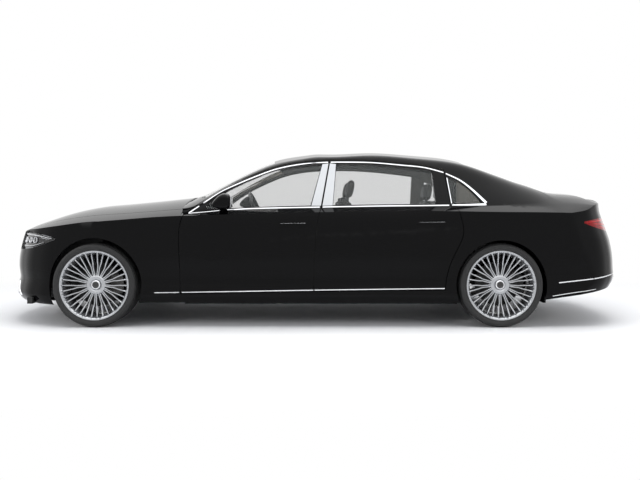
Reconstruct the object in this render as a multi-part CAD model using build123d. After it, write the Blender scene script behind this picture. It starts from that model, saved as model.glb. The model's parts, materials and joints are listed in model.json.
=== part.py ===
from build123d import *
from bisect import bisect_right
from math import cos, pi, radians, sin, sqrt
import os

# A long-wheelbase luxury sedan.  Millimetres, +Z up, nose towards -X, the car's left side towards -Y.
# The origin lies on the ground under the middle of the car.

# ---------------------------------------------------------------- driving dimensions
FRONT_AXLE_X = -1824.5
REAR_AXLE_X = 1571.5
WHEEL_Y = 815              # middle plane of each wheel
TYRE_RADIUS = 350
TYRE_WIDTH = 255
RIM_RADIUS = 290
RIM_WIDTH = 232
SPOKE_PAIRS = 17
HUB_BORE = 33
HUB_RADIUS = 80
HUB_BACK = -20              # the hub's mounting face, outboard of the wheel's middle plane
DISC_RADIUS = 188
KINGPIN_Y = 690
BALL_REACH = 150           # ball joints above and below the axle
RAIL_Y = (-450, -380)
TOWER_Z = 762              # top of the front struts
STOPS = ((-14, 600), (-20, 420), (1196, 700), (1120, 470))
STOP_GAP = 0.4             # between a closed panel and its rubber stops
HANDLES = {"front": (-283, 860), "rear": (873, 870)}
HANDLE_LENGTH = 234
HANDLE_STANDS = 7
SLATS = 17
SLAT_PITCH = 36
SLAT_WIDTH = 12

FENDER_ARCH = 396          # radius of the arch lips
QUARTER_ARCH = 378
FRONT_LINER = 440          # radius of the liners behind the lips
REAR_LINER = 402
LINER_WALL = 4
LINER_GAP = 3

SHUT_GAP = 6               # between a moving panel and its neighbours
SKIN = 5                   # pressed panels
BUMPER_WALL = 6
BUMPER_BED = 40            # depth of the body's recess behind the rear bumper cover
SKIRT_Y, SKIRT_Z = 740, 205
UNDERSIDE = 172
LAMP_DEPTH = 34
HOOD_WALL = 16
ROOF_WALL = 36             # roof, pillars and door frames, outside to trim
DOOR_FLANGE = 14           # outer layer of a door, which covers the jamb
DOOR_FLANGE_WIDTH = 34
JAMB_WIDTH = 20
GLASS = 5
GLASS_SINK = 6             # how far a window lies below the skin round it
GLASS_FIT = 0.4
PANEL_FIT = 0.4
CABIN_HALF_WIDTH = 806     # between the door trims
CABIN_FLOOR = 235
BOOT_FLOOR = 330
SHELF_Z = 1000             # behind the rear seats, under the window
REAR_STEP_X = 1290
AXLE_TUNNEL_Z = 480
AXLE_TUNNEL_X0, AXLE_TUNNEL_X1 = 1330, 1810
EXHAUST_ROOF = 215
SILENCER_ROOF = 305
CABIN_FRONT_X, CABIN_REAR_X = -1064, 1480
HOOD_LIP_Z = 790
LID_LIP_Z = 700
LID_WALL = 16

AXLE_CLEARANCE = 0.4       # running fits
STEERING_CENTRE = (-505, -370, 955)
STEERING_RADIUS = 185
COLUMN_TILT = 24
BOSS_HEIGHT = 44


def through(*points):
    """A smooth line through a few (place, value) stations, straight on beyond its ends."""
    xs = [float(point[0]) for point in points]
    ys = [float(point[1]) for point in points]
    steps = [(ys[i + 1] - ys[i]) / (xs[i + 1] - xs[i]) for i in range(len(xs) - 1)]
    slopes = [steps[0]] + [0.0] * (len(xs) - 2) + [steps[-1]]
    for i in range(1, len(xs) - 1):
        before, after = xs[i] - xs[i - 1], xs[i + 1] - xs[i]
        slopes[i] = (steps[i - 1] * after + steps[i] * before) / (before + after)

    def value(x):
        if x <= xs[0]:
            return ys[0] + slopes[0] * (x - xs[0])
        if x >= xs[-1]:
            return ys[-1] + slopes[-1] * (x - xs[-1])
        i = bisect_right(xs, x) - 1
        span = xs[i + 1] - xs[i]
        t = (x - xs[i]) / span
        start = (1 + 2 * t) * (1 - t) ** 2
        lift = t * (1 - t) ** 2 * slopes[i] - t * t * (1 - t) * slopes[i + 1]
        return start * ys[i] + (1 - start) * ys[i + 1] + span * lift

    return value


# ---------------------------------------------------------------- lines of the body
# Seen from the side and in plan, the shape is held by these lines.  Each gives a height or a half width.
nose_x = through((150, -2600), (200, -2690), (240, -2730), (300, -2729), (380, -2712), (470, -2722),
                 (580, -2716), (700, -2690), (850, -2640), (960, -2600), (1200, -2560))
tail_x = through((150, 2560), (200, 2610), (240, 2640), (300, 2690), (380, 2731), (470, 2730),
                 (580, 2724), (700, 2702), (850, 2650), (960, 2612), (1080, 2600), (1200, 2596))
side_y = through((-2150, 925), (-1824, 950), (-1300, 952), (-500, 955), (400, 960), (1100, 958),
                 (1571, 957), (1900, 950), (2250, 930))
tuck = through((150, -85), (200, -55), (240, -27), (300, -20), (380, -30), (470, -24), (580, -9),
               (700, 0), (850, -5), (960, -18), (1080, -45), (1200, -60))
tuck_share = through((-2300, 0.9), (-1824, 0.4), (-1300, 1.0), (-500, 1.0), (900, 1.0), (1571, 0.35),
                     (2250, 0.9))
crease_z = through((-2750, 620), (-2526, 705), (-2214, 804), (-1857, 878), (-1553, 905), (-1203, 927),
                   (-852, 938), (59, 961), (1058, 972), (1524, 969), (1973, 958), (2330, 930),
                   (2600, 890), (2750, 865))
hood_z = through((-2800, 670), (-2690, 758), (-2609, 799), (-2526, 848), (-2359, 911), (-2192, 962),
                 (-1979, 1005), (-1699, 1032), (-1418, 1059), (-1138, 1088), (-860, 1110))
roof_z = through((-1104, 1066), (-1000, 1132), (-850, 1211), (-700, 1288), (-500, 1383), (-350, 1440),
                 (-150, 1480), (100, 1501), (400, 1510), (750, 1502), (1050, 1478), (1270, 1448),
                 (1450, 1397), (1650, 1322), (1850, 1243), (2000, 1185), (2095, 1153), (2200, 1137),
                 (2400, 1109), (2600, 1076), (2760, 1048))
roof_crown = through((-1120, 58), (-1000, 108), (-900, 106), (-790, 95), (-600, 86), (-350, 80), (100, 66),
                     (750, 66), (1270, 70), (1650, 66), (2000, 40), (2300, 30), (2760, 30))
corner_y = through((-1104, 830), (-790, 768), (-502, 702), (-323, 660), (-141, 630), (105, 608),
                   (400, 600), (1050, 600), (1450, 598), (1850, 585), (2100, 570), (2400, 560), (2760, 540))
belt_y = through((-1120, 850), (-500, 850), (500, 852), (1200, 850), (1500, 842), (1850, 822),
                 (2200, 800), (2760, 780))
belt_z = through((-1120, 957), (-852, 970), (-695, 979), (-195, 995), (73, 1000), (440, 1007),
                 (1075, 1013), (1431, 1015), (1850, 1018), (2200, 1020), (2600, 1003), (2760, 985))
CREASE_Y = 940
FIREWALL_X = -1104
OUTSIDE = 1100             # a half width beyond every panel
BELOW = 100                # a height below every panel

END_WIDTH = 930            # the nose and tail curve back fully at this half width
end_sweep = through((0, 0), (0.15, 4), (0.3, 18), (0.5, 75), (0.7, 190), (0.85, 345), (0.93, 500), (1.0, 760))
TAIL_SWEEP = 0.62          # the tail's corners are tighter than the nose's
CROWN_POWER = 2.2
UPRIGHT_ABOVE = 1250
FULL_GLASS = 150           # side glass lower than this is flatter
CABIN_STATIONS = (-1120, -1000, -850, -700, -500, -350, -150, 100, 400, 750, 1050, 1270, 1450, 1650,
                  1850, 2000, 2100, 2200, 2400, 2600, 2860)
CABIN_KNOTS = (0, 0.14, 0.28, 0.42, 0.52, 0.74, 1.0)


# ---------------------------------------------------------------- the outer form, left half
def steps(start, end, count):
    return [start + (end - start) * i / count for i in range(count + 1)]


def sheet(point, rows, columns):
    """A smooth skin through a grid of points."""
    grid = [[point(row, column) for column in columns] for row in rows]
    return Face.make_surface_from_array_of_points(grid, tol=0.1, min_deg=3, max_deg=3)


def flank(inset):
    """Everything inboard of the left side."""
    def point(x, z):
        return x, -(side_y(x) + tuck(min(z, UPRIGHT_ABOVE)) * tuck_share(x) - inset), z
    return Solid.extrude(sheet(point, steps(-2900, 2900, 48), steps(130, 1690, 26)), Vector(0, 1500, 0))


def nose(inset):
    """Everything behind the nose."""
    def point(y, z):
        return nose_x(z) + inset + end_sweep(abs(y) / END_WIDTH), -y, z
    return Solid.extrude(sheet(point, steps(-120, 1080, 20), steps(130, 1330, 24)), Vector(5000, 0, 0))


def tail(inset):
    """Everything ahead of the tail."""
    def point(y, z):
        return tail_x(z) - inset - TAIL_SWEEP * end_sweep(abs(y) / END_WIDTH), -y, z
    return Solid.extrude(sheet(point, steps(-120, 1080, 20), steps(130, 1690, 30)), Vector(-5000, 0, 0))


def hood_tent(inset):
    """Everything under the hood and the fender tops."""
    def point(x, y):
        top, edge = hood_z(x) - inset, crease_z(x) - inset
        return x, -y, top - (top - edge) * (abs(y) / CREASE_Y) ** CROWN_POWER
    return Solid.extrude(sheet(point, steps(-2900, -800, 26), steps(-120, 1080, 16)), Vector(0, 0, -1500))


def cabin_section(x, inset):
    """Half a cross section of the cabin: belt, glass, cant rail and roof."""
    top = roof_z(x) - inset
    rail_y, rail_z = corner_y(x) - inset, roof_z(x) - roof_crown(x) - inset
    sill_y, sill_z = belt_y(x) - inset, belt_z(x) - 0.3 * inset
    fullness = min(1, (rail_z - sill_z) / FULL_GLASS)

    def roof(share):
        return share * rail_y, top - (top - rail_z) * share ** CROWN_POWER

    def glass(share, bulge):
        return (sill_y + (rail_y - sill_y) * share + 0.85 * bulge * fullness,
                sill_z + (rail_z - sill_z) * share + 0.5 * bulge * fullness)

    return [(sill_y, sill_z), glass(0.3, 8), glass(0.65, 10), (rail_y - 2, rail_z - 6 * fullness), roof(0.86),
            roof(0.5), roof(0)]


def cabin_tent(inset):
    """Everything under the shoulders, glass, roof and deck, lofted through cross sections."""
    wires = []
    for x in CABIN_STATIONS:
        half = cabin_section(x, inset)
        fall = (belt_z(x) - crease_z(x)) / (CREASE_Y - belt_y(x))
        outer = half[0][1] - fall * (OUTSIDE - half[0][0])
        arch = [(x, -y, z) for y, z in half]
        spline = Edge.make_spline(arch, parameters=CABIN_KNOTS)
        corners = [arch[-1], (x, 0, BELOW), (x, -OUTSIDE, BELOW), (x, -OUTSIDE, outer), arch[0]]
        base = Wire.make_polygon(corners, close=False)
        wires.append(Wire([spline] + list(base.edges())))
    return Solid.make_loft(wires)


def block(x0, x1, y0, y1, z0, z1):
    """A box between two corners."""
    middle = Pos((x0 + x1) / 2, (y0 + y1) / 2, (z0 + z1) / 2)
    return middle * Box(x1 - x0, y1 - y0, z1 - z0)


FORMS = {}


def form(maker, inset=0):
    """One part of the outer form, made once for each wall thickness."""
    key = maker.__name__, inset
    if key not in FORMS:
        FORMS[key] = maker(inset)
    return FORMS[key]


def front_form(inset=0):
    return (form(flank, inset) & form(nose, inset)) & form(hood_tent, inset)


def rear_form(inset=0):
    return (form(flank, inset) & form(tail, inset)) & form(cabin_tent, inset)


def solid_part(zone, half):
    """The left half of the outer form inside a zone.  The half is front_form or rear_form."""
    return form(half) & (zone & block(-3000, 3000, -OUTSIDE, 0, BELOW, 1700))


def wall_part(zone, half, wall):
    """The left skin inside a zone, as thick as the wall."""
    return solid_part(zone, half) - form(half, wall)


# ---------------------------------------------------------------- outlines of the openings
# Side outlines are in X and Z, plan outlines in X and Y.
rail_line = through((-1075, 945), (-790, 1154), (-502, 1285), (-323, 1353), (-141, 1390), (105, 1412),
                    (289, 1414), (453, 1412), (752, 1389), (998, 1360), (1133, 1324), (1190, 1290))


def turned_left(a, b):
    """The unit normal on the left of a step from one point to the next."""
    dx, dy = b[0] - a[0], b[1] - a[1]
    length = sqrt(dx * dx + dy * dy)
    return -dy / length, dx / length


def meeting(a, b, c, d):
    """Where the line through a and b meets the line through c and d."""
    ux, uy, vx, vy = b[0] - a[0], b[1] - a[1], d[0] - c[0], d[1] - c[1]
    cross = ux * vy - uy * vx
    if abs(cross) < 0.02 * sqrt((ux * ux + uy * uy) * (vx * vx + vy * vy)):
        return (b[0] + c[0]) / 2, (b[1] + c[1]) / 2
    t = ((c[0] - a[0]) * vy - (c[1] - a[1]) * vx) / cross
    return a[0] + t * ux, a[1] + t * uy


def grown(runs, amount):
    """A closed outline moved outwards by an amount, or inwards where it is negative.

    An outline is a list of runs, each from where the last one ended.  Two points make a line, more a curve.
    """
    if not amount:
        return runs
    loop = [point for run in runs for point in run[:-1]]
    area = sum(p[0] * q[1] - q[0] * p[1] for p, q in zip(loop, loop[1:] + loop[:1]))
    reach = -amount if area > 0 else amount
    moved = []
    for run in runs:
        normals = [turned_left(p, q) for p, q in zip(run, run[1:])]
        sides = [normals[0]] + [((p[0] + q[0]) / 2, (p[1] + q[1]) / 2)
                                for p, q in zip(normals, normals[1:])] + [normals[-1]]
        moved.append([(x + reach * nx, y + reach * ny) for (x, y), (nx, ny) in zip(run, sides)])
    for i, run in enumerate(moved):
        before = moved[i - 1]
        corner = meeting(before[-2], before[-1], run[0], run[1])
        before[-1] = corner
        run[0] = corner
    return moved


def outline_face(runs, place):
    """The face inside an outline, with a function that puts its flat points in space."""
    edges = []
    for run in runs:
        points = [place(u, v) for u, v in run]
        edges.append(Edge.make_line(*points) if len(points) == 2 else Edge.make_spline(points))
    return Face(Wire(edges))


def left_prism(runs, inner=0, outer=OUTSIDE):
    """A side outline carried across the left half of the car."""
    face = outline_face(runs, lambda x, z: (x, -inner, z))
    return Solid.extrude(face, Vector(0, inner - outer, 0))


def drop_prism(runs, low=BELOW, high=1700):
    """A plan outline carried from one height to another."""
    face = outline_face(runs, lambda x, y: (x, y, low))
    return Solid.extrude(face, Vector(0, 0, high - low))


def mirrored(solid):
    """The same piece on the other side of the car."""
    return mirror(solid, about=Plane.XZ)


FRONT_SHUT = [(-1102, 285), (-1108, 500), (-1112, 650), (-1098, 880), (-1075, 945)]
B_SHUT_LOW = [(8, 305), (9, 515), (24, 740), (46, 920), (70, 1000)]
B_SHUT_HIGH = [(70, 1000), (141, 1396)]
REAR_SHUT = [(1160, 1034), (1193, 1010), (1231, 908), (1249, 808), (1226, 715), (1160, 580), (1116, 440),
             (1100, 318)]


def shifted(run, dx):
    return [(x + dx, z) for x, z in run]


def rail_run(x0, x1, count):
    return [(x0 + (x1 - x0) * i / count, rail_line(x0 + (x1 - x0) * i / count)) for i in range(count + 1)]


def front_door_face():
    front = FRONT_SHUT
    back_low = shifted(B_SHUT_LOW, -SHUT_GAP / 2)
    back_high = shifted(B_SHUT_HIGH, -SHUT_GAP / 2)
    top_x = back_high[1][0]
    top = rail_run(-1075, top_x, 6)
    top[-1] = (top_x, rail_line(top_x))
    back_high = [back_high[0], top[-1]]
    return [[front[0], back_low[0]], back_low, back_high, top[::-1], front[::-1]]


def rear_door_face():
    front_low = shifted(B_SHUT_LOW, SHUT_GAP / 2)
    front_top_x = B_SHUT_HIGH[1][0] + SHUT_GAP / 2
    top = rail_run(front_top_x, 1133, 5)
    front_high = [front_low[-1], top[0]]
    return [[front_low[0], REAR_SHUT[-1]], REAR_SHUT[::-1], [REAR_SHUT[0], top[-1]], top[::-1],
            front_high[::-1], front_low[::-1]]


def front_window_face():
    low = [(-905, 986), (-400, 1004), (-22, 1014)]
    high = [(76, 1374), (-141, 1356), (-323, 1316), (-502, 1247), (-700, 1150), (-905, 1012)]
    return [low, [low[-1], high[0]], high, [high[-1], low[0]]]


def rear_window_face():
    low = [(170, 1016), (600, 1024), (1038, 1028)]
    high = [(1030, 1316), (752, 1350), (453, 1374), (202, 1376)]
    return [low, [low[-1], high[0]], high, [high[-1], low[0]]]


def quarter_window_face():
    low = [(1178, 1032), (1430, 1036)]
    high = [(1430, 1036), (1370, 1122), (1290, 1196), (1164, 1262)]
    return [low, high, [high[-1], low[0]]]


def windscreen_face(inset=0):
    half = [(-1052 + inset, 0), (-1030 + inset, 400), (-930 + inset, 722 - inset)]
    side = [(-930 + inset, 722 - inset), (-640, 652 - inset), (-330 - inset, 574 - inset)]
    top = [(-330 - inset, 574 - inset), (-360 - inset, 300), (-368 - inset, 0)]
    far = [[(x, -y) for x, y in run[::-1]] for run in (top, side, half)]
    return [half, side, top, *far]


def back_window_face(inset=0):
    top = [(1302 + inset, 0), (1310 + inset, 250), (1336 + inset, 520 - inset)]
    side = [(1336 + inset, 520 - inset), (1700, 512 - inset), (2040 - inset, 478 - inset)]
    low = [(2040 - inset, 478 - inset), (2066 - inset, 250), (2072 - inset, 0)]
    far = [[(x, -y) for x, y in run[::-1]] for run in (low, side, top)]
    return [top, side, low, *far]


def hood_face(extra=0):
    back = [(-1116 + extra, 0), (-1116 + extra, 400), (-1116 + extra, 770 + extra)]
    side = [(-1116 + extra, 770 + extra), (-1500, 778 + extra), (-1900, 745 + extra),
            (-2220, 672 + extra), (-2440, 560 + extra)]
    front = [(-2440, 560 + extra), (-2560 - extra, 430), (-2606 - extra, 220), (-2616 - extra, 0)]
    far = [[(x, -y) for x, y in run[::-1]] for run in (front, side, back)]
    return [back, side, front, *far]


def lid_face(extra=0):
    front = [(2100 - extra, 0), (2096 - extra, 260), (2082 - extra, 492 + extra)]
    side = [(2082 - extra, 492 + extra), (2300, 560 + extra), (2560, 590 + extra), (2800, 590 + extra)]
    back = [(2800, 590 + extra), (2800, 0)]
    far = [[(x, -y) for x, y in run[::-1]] for run in (back, side, front)]
    return [front, side, back, *far]


HEADLAMP_LOW = [(-2800, 640), (-2450, 648), (-2170, 728)]
HEADLAMP_HIGH = [(-2170, 742), (-2450, 790), (-2800, 800)]
TAIL_LAMP_LOW = [(2277, 868), (2450, 815), (2800, 770)]
TAIL_LAMP_HIGH = [(2800, 915), (2500, 910), (2277, 882)]


FENDER_SIDE = [[(-2190, SKIRT_Z), (-2190, 720)], [(-2190, 720), (-2240, 1300)],
               [(-2240, 1300), (-1300, 1300)], [(-1300, 1300), (-1300, SKIRT_Z)],
               [(-1300, SKIRT_Z), (-2190, SKIRT_Z)]]


REAR_BUMPER_SIDE = [[(1940, 232), (1960, 470), (2080, 640), (2230, 742)], [(2230, 742), (2800, 694)],
                    [(2800, 694), (2800, 345)], [(2800, 345), (1940, 232)]]
REAR_UNDERSIDE = [[(1940, 100), (1940, 233)], [(1940, 233), (2800, 346)], [(2800, 346), (2800, 100)],
                  [(2800, 100), (1940, 100)]]


def headlamp_prism(extra=0):
    runs = [HEADLAMP_LOW, [HEADLAMP_LOW[-1], HEADLAMP_HIGH[0]], HEADLAMP_HIGH,
            [HEADLAMP_HIGH[-1], HEADLAMP_LOW[0]]]
    return left_prism(grown(runs, extra), inner=470 - extra)


def tail_lamp_prism(extra=0, inner=598, outer=OUTSIDE):
    runs = [TAIL_LAMP_LOW, [TAIL_LAMP_LOW[-1], TAIL_LAMP_HIGH[0]], TAIL_LAMP_HIGH,
            [TAIL_LAMP_HIGH[-1], TAIL_LAMP_LOW[0]]]
    return left_prism(grown(runs, extra), inner=inner - extra, outer=outer)


def wheel_well(axle_x, radius, inner):
    """A cylinder that keeps a left wheel clear."""
    return Pos(axle_x, -(inner + OUTSIDE) / 2, TYRE_RADIUS) * Rot(90, 0, 0) * Cylinder(radius, OUTSIDE - inner)


# ---------------------------------------------------------------- body panels
def cabin_space():
    """The air inside the cabin, stepped up behind the rear seat over the rear axle."""
    low = block(CABIN_FRONT_X, REAR_STEP_X, -CABIN_HALF_WIDTH, CABIN_HALF_WIDTH, CABIN_FLOOR, 1700)
    high = block(REAR_STEP_X, CABIN_REAR_X, -CABIN_HALF_WIDTH, CABIN_HALF_WIDTH, AXLE_TUNNEL_Z + 40, 1700)
    return form(cabin_tent, ROOF_WALL) & (low + high)


def both(solid):
    """A left piece and its mirror image."""
    return [solid, mirrored(solid)]


def whole(solid):
    """A piece across the car, from its left half."""
    return solid + mirrored(solid)


def door_parts():
    """Doors and their windows: a flange over the jamb, a thick inner panel, and the window opening."""
    nodes = {}
    space = cabin_space()
    for name, face, window in (("front", front_door_face(), front_window_face()),
                               ("rear", rear_door_face(), rear_window_face())):
        opening = left_prism(window, inner=300)
        flange = wall_part(left_prism(face, inner=400), rear_form, DOOR_FLANGE)
        panel = solid_part(left_prism(grown(face, -DOOR_FLANGE_WIDTH), inner=400), rear_form) - space
        panel -= block(FIREWALL_X, CABIN_FRONT_X + 1, -CABIN_HALF_WIDTH, 0, 0, SHELF_Z)
        door = flange + panel - opening
        x0, z0 = HANDLES[name]
        grip = block(x0, x0 + HANDLE_LENGTH, -OUTSIDE, -800, z0 - 11, z0 + 11)
        door += (form(flank, -HANDLE_STANDS) & grip) - form(flank, 0)
        if name == "rear":
            door -= wheel_well(REAR_AXLE_X, REAR_LINER + 12, 300)
        pane_zone = left_prism(grown(window, -GLASS_FIT), inner=300)
        pane = (form(cabin_tent, GLASS_SINK) & pane_zone) - form(cabin_tent, GLASS_SINK + GLASS)
        for side, pieces in zip(("left", "right"), zip(both(door), both(pane))):
            nodes[f"{name}_{side}_door"] = [pieces[0]]
            nodes[f"{name}_{side}_window"] = [pieces[1]]
    return nodes


def hood_part():
    """The hood: a wall thick enough to hold its frame, cut off level above the grille."""
    hood = wall_part(drop_prism(hood_face(), low=640), front_form, HOOD_WALL)
    return {"hood": [whole(hood - block(-3000, -2000, -900, 900, 0, HOOD_LIP_Z))]}


def hood_opening():
    """What the hood and its gap take out of the fenders, lamps and bumper."""
    return drop_prism(hood_face(SHUT_GAP), low=HOOD_LIP_Z - SHUT_GAP)


def lid_parts():
    """The trunk lid, from the rear window down to the bumper, and the lamps that it carries."""
    zone = drop_prism(lid_face(), low=LID_LIP_Z)
    lid = wall_part(zone, rear_form, LID_WALL)
    lamp_zone = tail_lamp_prism(inner=330, outer=586)
    lamp = wall_part(lamp_zone, rear_form, LAMP_DEPTH)
    lid -= tail_lamp_prism(GLASS_FIT, inner=330, outer=586 + GLASS_FIT)
    return {"trunk_lid": [whole(lid)], "lid_lamps": both(lamp)}


def lid_opening():
    return drop_prism(lid_face(SHUT_GAP), low=LID_LIP_Z - SHUT_GAP)


def lamp_parts():
    """Headlamps and the outer tail lamps, as blocks with the lens at the skin."""
    headlamp = wall_part(headlamp_prism(), front_form, LAMP_DEPTH) - hood_opening()
    tail_lamp = wall_part(tail_lamp_prism(), rear_form, LAMP_DEPTH)
    return {"headlamps": both(headlamp), "tail_lamps": both(tail_lamp)}


def fender_parts():
    """Front fenders, round the arch from the bumper to the door."""
    zone = left_prism(FENDER_SIDE, inner=300) + block(-1301, FIREWALL_X, -OUTSIDE, -300, SKIRT_Z, 1300)
    fender = wall_part(zone, front_form, SKIN) - hood_opening() - headlamp_prism(GLASS_FIT)
    fender -= left_prism(grown(front_door_face(), SHUT_GAP), inner=300)
    fender -= wheel_well(FRONT_AXLE_X, FENDER_ARCH, 300)
    largest = max(fender.solids(), key=lambda solid: solid.volume)
    return {"front_fenders": both(largest)}


def grille_face(extra=0):
    """The grille opening, seen from the front, in Y and Z."""
    wide, narrow, high, low = 330 + extra, 270 + extra, HOOD_LIP_Z - 34 + extra, 400 - extra
    return Face(Wire.make_polygon([(-3000, -wide, high), (-3000, wide, high), (-3000, narrow, low),
                                   (-3000, -narrow, low)]))


def intake_face(extra=0):
    return Face(Wire.make_polygon([(-3000, -560 - extra, 352 + extra), (-3000, 560 + extra, 352 + extra),
                                   (-3000, 640 + extra, 236 - extra), (-3000, -640 - extra, 236 - extra)]))


def front_bumper_part():
    """The front bumper cover, with openings for the grille and the lower intake."""
    bumper = wall_part(block(-3000, -2100, -OUTSIDE, OUTSIDE, 180, 1300), front_form, BUMPER_WALL)
    bumper -= hood_opening()
    for tool in (left_prism(grown(FENDER_SIDE, PANEL_FIT), inner=200), headlamp_prism(GLASS_FIT),
                 wheel_well(FRONT_AXLE_X, FENDER_ARCH, 300)):
        bumper -= tool
    for face in (grille_face(), intake_face()):
        bumper -= Solid.extrude(face, Vector(900, 0, 0))
    return {"front_bumper": [whole(bumper)]}


def rear_bumper_part():
    bumper = wall_part(left_prism(REAR_BUMPER_SIDE), rear_form, BUMPER_WALL)
    return {"rear_bumper": [whole(bumper - lid_opening() - wheel_well(REAR_AXLE_X, QUARTER_ARCH, 300))]}


def shell_part():
    """Roof, pillars, sills, floor and rear quarters, which are one welded body."""
    shell = solid_part(block(FIREWALL_X, 2700, -OUTSIDE, OUTSIDE, BELOW, 1700), rear_form)
    shell -= cabin_space()
    shell -= wall_part(left_prism(grown(REAR_BUMPER_SIDE, PANEL_FIT), inner=-1), rear_form, BUMPER_BED)
    shell -= left_prism(REAR_UNDERSIDE, inner=-1)
    shell -= block(-3000, 3000, -OUTSIDE, -SKIRT_Y, 0, SKIRT_Z)
    shell -= block(-3000, 3000, -SKIRT_Y - 1, 1, 0, UNDERSIDE)
    shell -= lid_opening()
    shell -= boot_space()
    shell -= underbody_space()
    shell -= drop_prism(windscreen_face(), low=990)
    shell -= drop_prism(back_window_face(), low=SHELF_Z)
    for face in (front_door_face(), rear_door_face()):
        rabbet = wall_part(left_prism(grown(face, SHUT_GAP), inner=400), rear_form, DOOR_FLANGE + SHUT_GAP)
        way = left_prism(grown(face, -JAMB_WIDTH), inner=400)
        shell = shell - rabbet - way
    for tool in (left_prism(quarter_window_face(), inner=300), tail_lamp_prism(GLASS_FIT),
                 wheel_well(REAR_AXLE_X, QUARTER_ARCH, 560)):
        shell -= tool
    return {"body_shell": [whole(shell)]}


def boot_space():
    """The air in the boot, between the wheel wells and wider behind them."""
    narrow = block(AXLE_TUNNEL_X1 + 20, 1990, -520, 520, BOOT_FLOOR, SHELF_Z - 40)
    wide = block(1980, 2480, -680, 680, BOOT_FLOOR, 900)
    return narrow + wide


def underbody_space():
    """Channels in the underside for the exhaust, the rear axle and the silencers."""
    tunnel = block(FIREWALL_X - 10, AXLE_TUNNEL_X0 + 10, -78, 78, BELOW, EXHAUST_ROOF)
    axle = block(AXLE_TUNNEL_X0, AXLE_TUNNEL_X1, -700, 700, BELOW, AXLE_TUNNEL_Z)
    return tunnel + axle + block(AXLE_TUNNEL_X1 - 10, 2660, -640, 640, BELOW, SILENCER_ROOF)


def fixed_glass_parts():
    """Windscreen, rear window and quarter windows."""
    nodes = {}
    for name, zone in (("windshield", drop_prism(windscreen_face(GLASS_FIT), low=990)),
                       ("rear_window", drop_prism(back_window_face(GLASS_FIT), low=SHELF_Z))):
        nodes[name] = [whole((form(cabin_tent, GLASS_SINK) & zone) - form(cabin_tent, GLASS_SINK + GLASS))]
    zone = left_prism(grown(quarter_window_face(), -GLASS_FIT), inner=300)
    pane = (form(cabin_tent, GLASS_SINK) & zone) - form(cabin_tent, GLASS_SINK + GLASS)
    nodes["quarter_windows"] = both(pane)
    return nodes


def stop_parts():
    """Rubber buffers on the jambs and beside the boot, which the closed doors and lid rest against."""
    stops = []
    for x, z in STOPS:
        post = Pos(x, -800, z) * Rot(90, 0, 0) * Cylinder(5, 600)
        stop = (post & form(flank, DOOR_FLANGE + STOP_GAP)) - form(flank, DOOR_FLANGE + SHUT_GAP - STOP_GAP)
        stops += both(stop)
    pad = block(2296, 2304, -565, -540, 1040, 1200) & form(cabin_tent, LID_WALL + STOP_GAP)
    return {"door_stops": stops, "lid_stops": both(pad)}


def grille_parts():
    """Chrome surrounds with upright slats above and level bars in the intake below."""
    surround = form(nose, -7) - form(nose, 20)
    slats = form(nose, 3) - form(nose, 20)
    left = block(-3000, -2000, -OUTSIDE, 0, BELOW, 1700)
    ahead = Vector(900, 0, 0)
    upper = Solid.extrude(grille_face(-PANEL_FIT), ahead) - Solid.extrude(grille_face(-26), ahead)
    lower = Solid.extrude(intake_face(-PANEL_FIT), ahead) - Solid.extrude(intake_face(-12), ahead)
    grille = surround & left & upper
    for i in range(SLATS // 2 + 1):
        y = -i * SLAT_PITCH
        slat = block(-3000, -2000, y - SLAT_WIDTH / 2, y + SLAT_WIDTH / 2, 300, 800)
        grille += slats & left & slat & Solid.extrude(grille_face(-10), ahead)
    intake = surround & left & lower
    for z in (264, 292, 320):
        bar = block(-3000, -2000, -OUTSIDE, 0, z - 4, z + 4)
        intake += slats & left & bar & Solid.extrude(intake_face(-6), ahead)
    return {"grille": [whole(grille)], "lower_grille": [whole(intake)]}


def revolved(profile):
    """A closed profile of (radius, y) points turned about the Y axis."""
    face = Face(Wire.make_polygon([(radius, y, 0) for radius, y in profile]))
    return Solid.revolve(face, 360, Axis.Y)


def spoke_blank(turn, side):
    """One spoke, seen from the side of the car.  A pair leaves the hub side by side and parts halfway."""
    spread = radians(180 / SPOKE_PAIRS / 2) * side
    stations = ((HUB_RADIUS - 14, 6 * side, 4.2), (0.52 * RIM_RADIUS, 7.5 * side, 4),
                (0.66 * RIM_RADIUS, 15.5 * side, 4.2),
                (RIM_RADIUS - 18, (RIM_RADIUS - 18) * sin(spread), 4.6))
    left = [(radius, offset + half) for radius, offset, half in stations]
    right = [(radius, offset - half) for radius, offset, half in reversed(stations)]
    points = [(radius * cos(turn) - offset * sin(turn), -RIM_WIDTH / 2, radius * sin(turn) + offset * cos(turn))
              for radius, offset in left + right]
    return Solid.extrude(Face(Wire.make_polygon(points)), Vector(0, RIM_WIDTH / 2, 0))


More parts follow.
